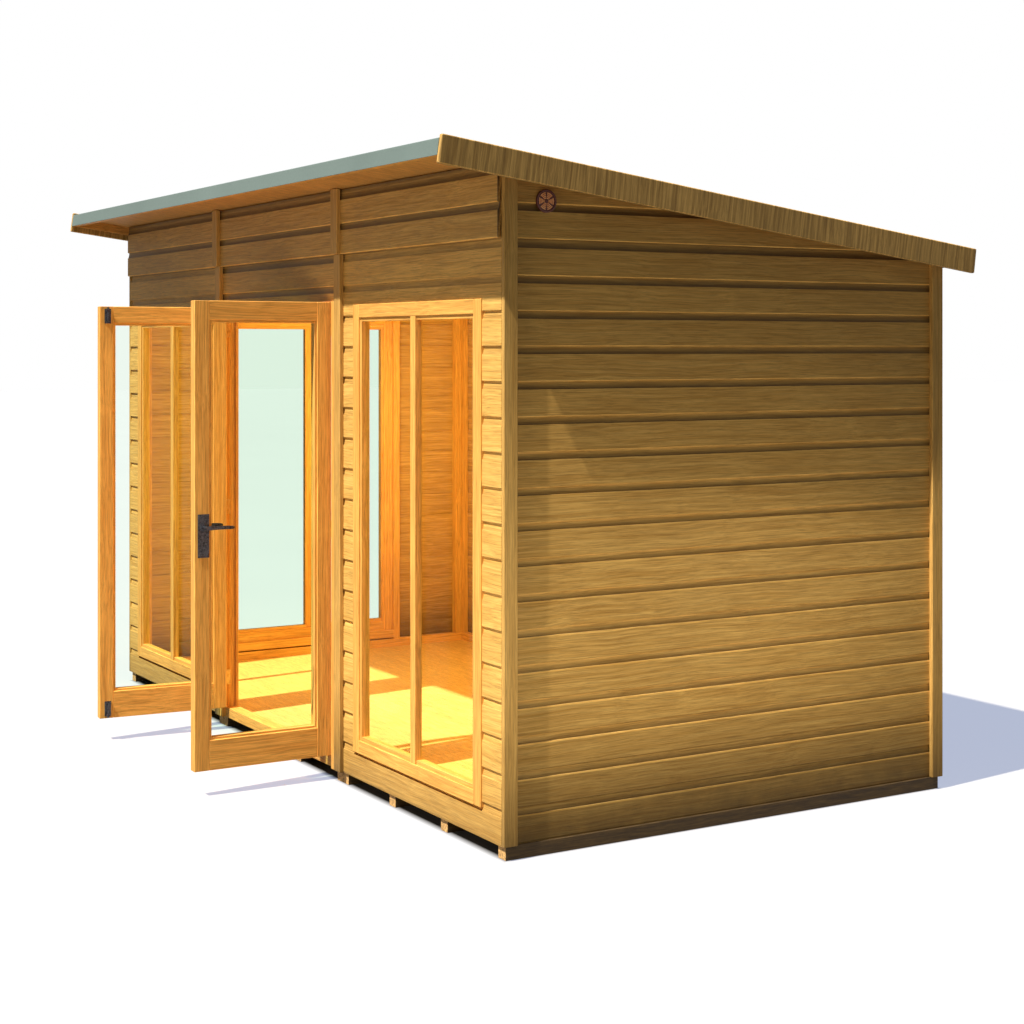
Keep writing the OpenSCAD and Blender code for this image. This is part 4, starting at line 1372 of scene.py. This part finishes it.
@dataclass
class Vent:
    """Round vent cover: a dark dish and ring behind six pale sectors of curved slats."""

    sectors: int = 6
    slats: int = 4
    sweep: float = math.radians(44)

    def build(self) -> None:
        """Builds the dish with its ring, and the slats."""
        box = Box.cad("vent_cover")
        centre = np.array([box.lo[0], box.mid[1], box.mid[2]])
        radius, deep = box.size[2] / 2, box.size[0]
        dish = Batch()
        profile = [(0, 0.001 * MM), (0, radius), (deep - 1 * MM, radius), (deep, radius - 1 * MM),
                   (deep, radius - 4.5 * MM), (deep - 1 * MM, radius - 5.5 * MM), (deep - 4 * MM, radius - 6 * MM),
                   (deep - 4 * MM, 6 * MM), (deep - 1.5 * MM, 5 * MM), (deep - 1.5 * MM, 0.001 * MM)]
        lathe(dish, centre, X, Y, np.array(profile), 48)
        # The dark dish behind the slats is painted shade for the vent's opening.
        dress(dish.to_object("vent_dish"), FINISH.vent_dark, "vent_plastic", "house", "vent_cover")
        slats = Batch()
        edges = np.linspace(8 * MM, radius - 7 * MM, self.slats + 1)
        for i in range(self.sectors):
            for r0, r1 in zip(edges, edges[1:] - 2.0 * MM):
                self.slat(slats, centre, (r0, r1), (deep - 4.5 * MM, deep - 1.5 * MM), i * 2 * math.pi / self.sectors)
        dress(slats.to_object("vent_slats"), FINISH.vent, "vent_plastic", "house", "vent_cover")

    def slat(self, batch: Batch, centre: np.ndarray, radii: tuple[float, float], depths: tuple[float, float],
             middle: float) -> None:
        """A curved bar: a rectangle of radius and depth swept round the vent's axis.

        Args:
            batch: receives the shell.
            centre: of the vent, on the wall.
            radii: inner and outer radius.
            depths: back and front, out from the wall.
            middle: angle of the bar's middle.
        """
        turn = middle + np.linspace(-0.5, 0.5, 7) * self.sweep
        way = np.cos(turn)[:, None] * Y + np.sin(turn)[:, None] * Z
        r = np.array([radii[0], radii[1], radii[1], radii[0]])
        x = np.array([depths[0], depths[0], depths[1], depths[1]])
        batch.shell(centre + r[None, :, None] * way[:, None, :] + x[None, :, None] * X)


# ---------------------------------------------------------------- roof
@dataclass
class Roof:
    """Boards, felt, battens, purlins and bargeboards."""

    def on_slope(self, batch: Batch, x: tuple[float, float], s: tuple[float, float], n: tuple[float, float],
                 along: str = "s", radius: float = 1.5 * MM, across: bool = False, edge_highlight: float = 0.35) -> None:
        """A plank that lies with the slope.

        Args:
            batch: receives the plank.
            x: its ends across the roof.
            s: its ends down the slope.
            n: its ends square to the slope.
            along: s or x, the way of its length.
            radius: of its arrises.
            across: turns the figure across the length.
            edge_highlight: painted highlight, how much paler its arrises are.
        """
        corner = ROOF.origin + ROOF.s * s[0] + ROOF.n * n[0]
        corner[0] = x[0]
        sx, ss, sn = x[1] - x[0], s[1] - s[0], n[1] - n[0]
        if along == "s":
            plank(batch, corner, (ROOF.s, X, ROOF.n), (ss, sx, sn), radius, across=across, edge_highlight=edge_highlight)
        else:
            plank(batch, corner, (X, ROOF.s, ROOF.n), (sx, ss, sn), radius, across=across)

    def build(self) -> None:
        """Builds the roof from the boards up."""
        self.boards()
        self.felt()
        self.battens()
        self.purlins()
        for side in ("left", "right"):
            batch = Batch()
            node = f"bargeboard_{side}"
            box = Box.cad(node)
            s0, s1, n0, n1 = ROOF.block(node)
            self.on_slope(batch, (box.lo[0], box.hi[0]), (s0, s1), (n0, n1), radius=3.5 * MM, across=True, edge_highlight=1.3)
            dress(batch.to_object(f"verge_board_{side}"), FINISH.barge, "trim_wood", "house", node)

    def boards(self) -> None:
        """The roof boards."""
        box, batch = Box.cad("roof_boards"), Batch()
        s0, s1, n0, n1 = ROOF.block("roof_boards")
        edges = np.linspace(box.lo[0], box.hi[0], 4)
        for a, b in zip(edges, edges[1:]):
            self.on_slope(batch, (a, b), (s0, s1), (n0, n1), radius=0.5 * MM)
        dress(batch.to_object("roof_sheets"), FINISH.roof, "roof_wood", "house", "roof_boards")

    def felt(self) -> None:
        """Felt over the boards, turned down in front and behind: one bent strip carried across the roof."""
        box, batch = Box.cad("roof_felt"), Batch()
        s0, s1, n0, n1 = ROOF.block("roof_felt")
        t = 3 * MM
        bend = 4 * MM
        turn = np.linspace(0, math.pi / 2, 4)
        front = np.stack([s0 + bend - bend * np.cos(turn), n1 - bend + bend * np.sin(turn)], -1)
        back = np.stack([s1 - bend + bend * np.sin(turn), n1 - bend + bend * np.cos(turn)], -1)
        outer = np.concatenate([[[s0, n0]], front, back, [[s1, n0]]])
        inner = np.array([[s1 - t, n0], [s1 - t, n1 - t], [s0 + t, n1 - t], [s0 + t, n0]])
        outline = np.concatenate([outer, inner])
        places = np.array([box.lo[0], box.hi[0]])
        rings = (ROOF.origin + outline[None, :, :1] * ROOF.s + outline[None, :, 1:] * ROOF.n
                 + places[:, None, None] * X)
        batch.shell(rings)
        dress(batch.to_object("felt_sheet"), FINISH.felt, "felt", "house", "roof_felt")

    def battens(self) -> None:
        """Battens under the roof's four edges."""
        box, batch = Box.cad("roof_battens"), Batch()
        s0, s1, n0, n1 = ROOF.block("roof_battens")
        t = 20 * MM
        for a in (s0, s1 - t):
            self.on_slope(batch, (box.lo[0], box.hi[0]), (a, a + t), (n0, n1), "x")
        for x in (box.lo[0], box.hi[0] - t):
            self.on_slope(batch, (x, x + t), (s0 + t, s1 - t), (n0, n1))
        dress(batch.to_object("edge_battens"), FINISH.roof, "roof_wood", "house", "roof_battens")

    def purlins(self) -> None:
        """Two purlins under the boards."""
        box, batch = Box.cad("roof_purlins"), Batch()
        s0, s1, n0, n1 = ROOF.block("roof_purlins")
        for s in (s0, s1 - 38 * MM):
            self.on_slope(batch, (box.lo[0], box.hi[0]), (s, s + 38 * MM), (n0, n1), "x")
        dress(batch.to_object("purlins"), FINISH.roof, "roof_wood", "house", "roof_purlins")


# ---------------------------------------------------------------- stage
@dataclass
class Stage:
    """Pale floor, white surround, sun and fill, and the camera."""

    sun_height: float = math.radians(58.0)
    sun_side: float = math.radians(8.0)
    sun_power: float = 7.2
    sky: float = 0.05
    soft: float = 15 * MM

    def build(self) -> None:
        """Builds floor, world, lamps and camera."""
        self.floor()
        self.world()
        self.sun()
        self.fill()
        self.camera()
        bpy.context.scene.view_settings.view_transform = "Standard"

    def floor(self) -> None:
        """A wide pale floor under the joists."""
        mesh = bpy.data.meshes.new("stage_floor")
        half = 60.0
        mesh.from_pydata([(-half, -half, 0), (half, -half, 0), (half, half, 0), (-half, half, 0)], [], [(0, 1, 2, 3)])
        obj = bpy.data.objects.new("stage_floor", mesh)
        bpy.context.scene.collection.objects.link(obj)
        material, t, shader = new_material("pale_floor")
        place = t.add("TexCoord").outputs["Object"]
        noise = t.add("TexNoise", {"Vector": place, "Scale": 0.6, "Detail": 2.0})
        seen = self.seen(t)
        tint = t.ramp(noise.outputs["Fac"], [(0.3, (0.293, 0.270, 0.211)), (0.7, (0.302, 0.280, 0.220))])
        lit = t.math("MULTIPLY", seen, self.beyond(t, place))
        # Under the joists the floor turns near-black and loses its camera-only brightness: a painted shadow under the
        # house.
        color = t.add("Mix", {0: lit, 6: (0.085, 0.083, 0.080, 1.0), 7: tint}, data_type="RGBA")
        t.tree.links.new(color.outputs[2], shader.inputs["Base Color"])
        t.tree.links.new(lit, shader.inputs["Emission Strength"])
        shader.inputs["Emission Color"].default_value = (0.44, 0.49, 0.64, 1.0)
        shader.inputs["Roughness"].default_value = 0.9
        shader.inputs["Specular IOR Level"].default_value = 0.0
        mesh.materials.append(material)

    def beyond(self, t: Tree, place: bpy.types.NodeSocket) -> bpy.types.NodeSocket:
        """Painted shadow under the house: 0 on the ground under the joists and 1 away from them, with a soft border.

        Args:
            t: the floor's tree.
            place: position on the floor.
        Returns:
            The mask's socket.
        """
        under = Box.cad("floor_joists")
        axes = t.add("SeparateXYZ", {"Vector": place}).outputs
        away = []
        for axis in (0, 1):
            off = t.math("ABSOLUTE", t.math("SUBTRACT", axes[axis], float(under.mid[axis])))
            half = float(under.size[axis]) / 2
            away.append(t.add("MapRange", {"Value": off, "From Min": half - self.soft,
                                           "From Max": half + self.soft}).outputs[0])
        return t.math("MAXIMUM", *away)

    @staticmethod
    def seen(t: Tree) -> bpy.types.NodeSocket:
        """1 for rays that show the surface to the camera, straight, mirrored or through glass."""
        path = t.add("LightPath")
        direct = t.math("MAXIMUM", path.outputs["Is Camera Ray"], path.outputs["Is Transmission Ray"])
        return t.math("MAXIMUM", direct, path.outputs["Is Glossy Ray"])

    def world(self) -> None:
        """White to the camera, in reflections and through glass; a soft sky for the rest."""
        world = bpy.data.worlds.new("surround")
        world.use_nodes = True
        world.node_tree.nodes.clear()
        t = Tree(world.node_tree)
        sky = t.add("Background", {"Color": (0.90, 0.94, 1.0, 1.0), "Strength": self.sky})
        white = t.add("Background", {"Color": (1.0, 1.0, 1.0, 1.0), "Strength": 1.0})
        mixed = t.add("MixShader", {0: self.seen(t), 1: sky.outputs[0], 2: white.outputs[0]})
        t.add("OutputWorld", {"Surface": mixed.outputs[0]})
        bpy.context.scene.world = world

    def sun(self) -> None:
        """The sun, high in front and a little to the right."""
        data = bpy.data.lights.new("sun", "SUN")
        data.energy = self.sun_power
        data.angle = math.radians(0.9)
        data.color = (1.0, 0.97, 0.92)
        obj = bpy.data.objects.new("sun", data)
        obj.rotation_euler = (math.pi / 2 - self.sun_height, 0, self.sun_side)
        bpy.context.scene.collection.objects.link(obj)

    def lamp(self, name: str, kind: str, power: float, color: tuple[float, float, float],
             place: tuple[float, float, float]) -> bpy.types.Object:
        """A lamp that isn't seen itself.

        Args:
            name: its name.
            kind: AREA or POINT.
            power: watts.
            color: linear colour.
            place: where it stands.
        Returns:
            The lamp's object.
        """
        data = bpy.data.lights.new(name, kind)
        data.energy, data.color = power, color
        obj = bpy.data.objects.new(name, data)
        obj.location = place
        obj.visible_camera = obj.visible_glossy = obj.visible_transmission = False
        bpy.context.scene.collection.objects.link(obj)
        return obj

    def fill(self) -> None:
        """A low strip beside the right wall, and a warm glow inside the room."""
        strip = self.lamp("side_strip", "AREA", 7.4, (1.0, 0.97, 0.92), (2.6, -0.35, 0.64))
        strip.rotation_euler = (math.pi / 2, 0, math.pi / 2)
        strip.data.shape, strip.data.size, strip.data.size_y = "RECTANGLE", 2.6, 0.2
        side = self.lamp("door_fill", "AREA", 20.0, (1.0, 0.93, 0.82), (2.3, -2.9, 0.95))
        side.rotation_euler = (math.pi / 2, 0, math.radians(62))
        side.data.shape, side.data.size = "DISK", 0.8
        for x in (-0.9, 0.9):
            glow = self.lamp("room_glow", "POINT", 41.0, (1.0, 0.76, 0.36), (x, 0.25, 1.25))
            glow.data.shadow_soft_size = 0.25

    def camera(self) -> None:
        """A level camera off the right front corner."""
        data = bpy.data.cameras.new("camera")
        data.lens = 63.06
        data.sensor_width = 36.0
        data.shift_y = -0.1598
        data.clip_end = 300
        obj = bpy.data.objects.new("camera", data)
        front = Box.cad("front_cladding_right").lo[1]
        obj.location = (6.633, front - 2.840, 1.609)
        obj.rotation_euler = (math.pi / 2, 0, math.atan2(0.86015, 0.51004))
        bpy.context.scene.collection.objects.link(obj)
        bpy.context.scene.camera = obj


def main() -> None:
    """Builds every sub-assembly in order."""
    logging.basicConfig(level=logging.INFO, format="%(message)s")
    Stage().build()
    for part in (Floor(), Cladding(), Framing(), Trims(), Windows(), Doorway(), Doors(), Hardware(), Vent(), Roof()):
        part.build()


if __name__ == "__main__":
    main()
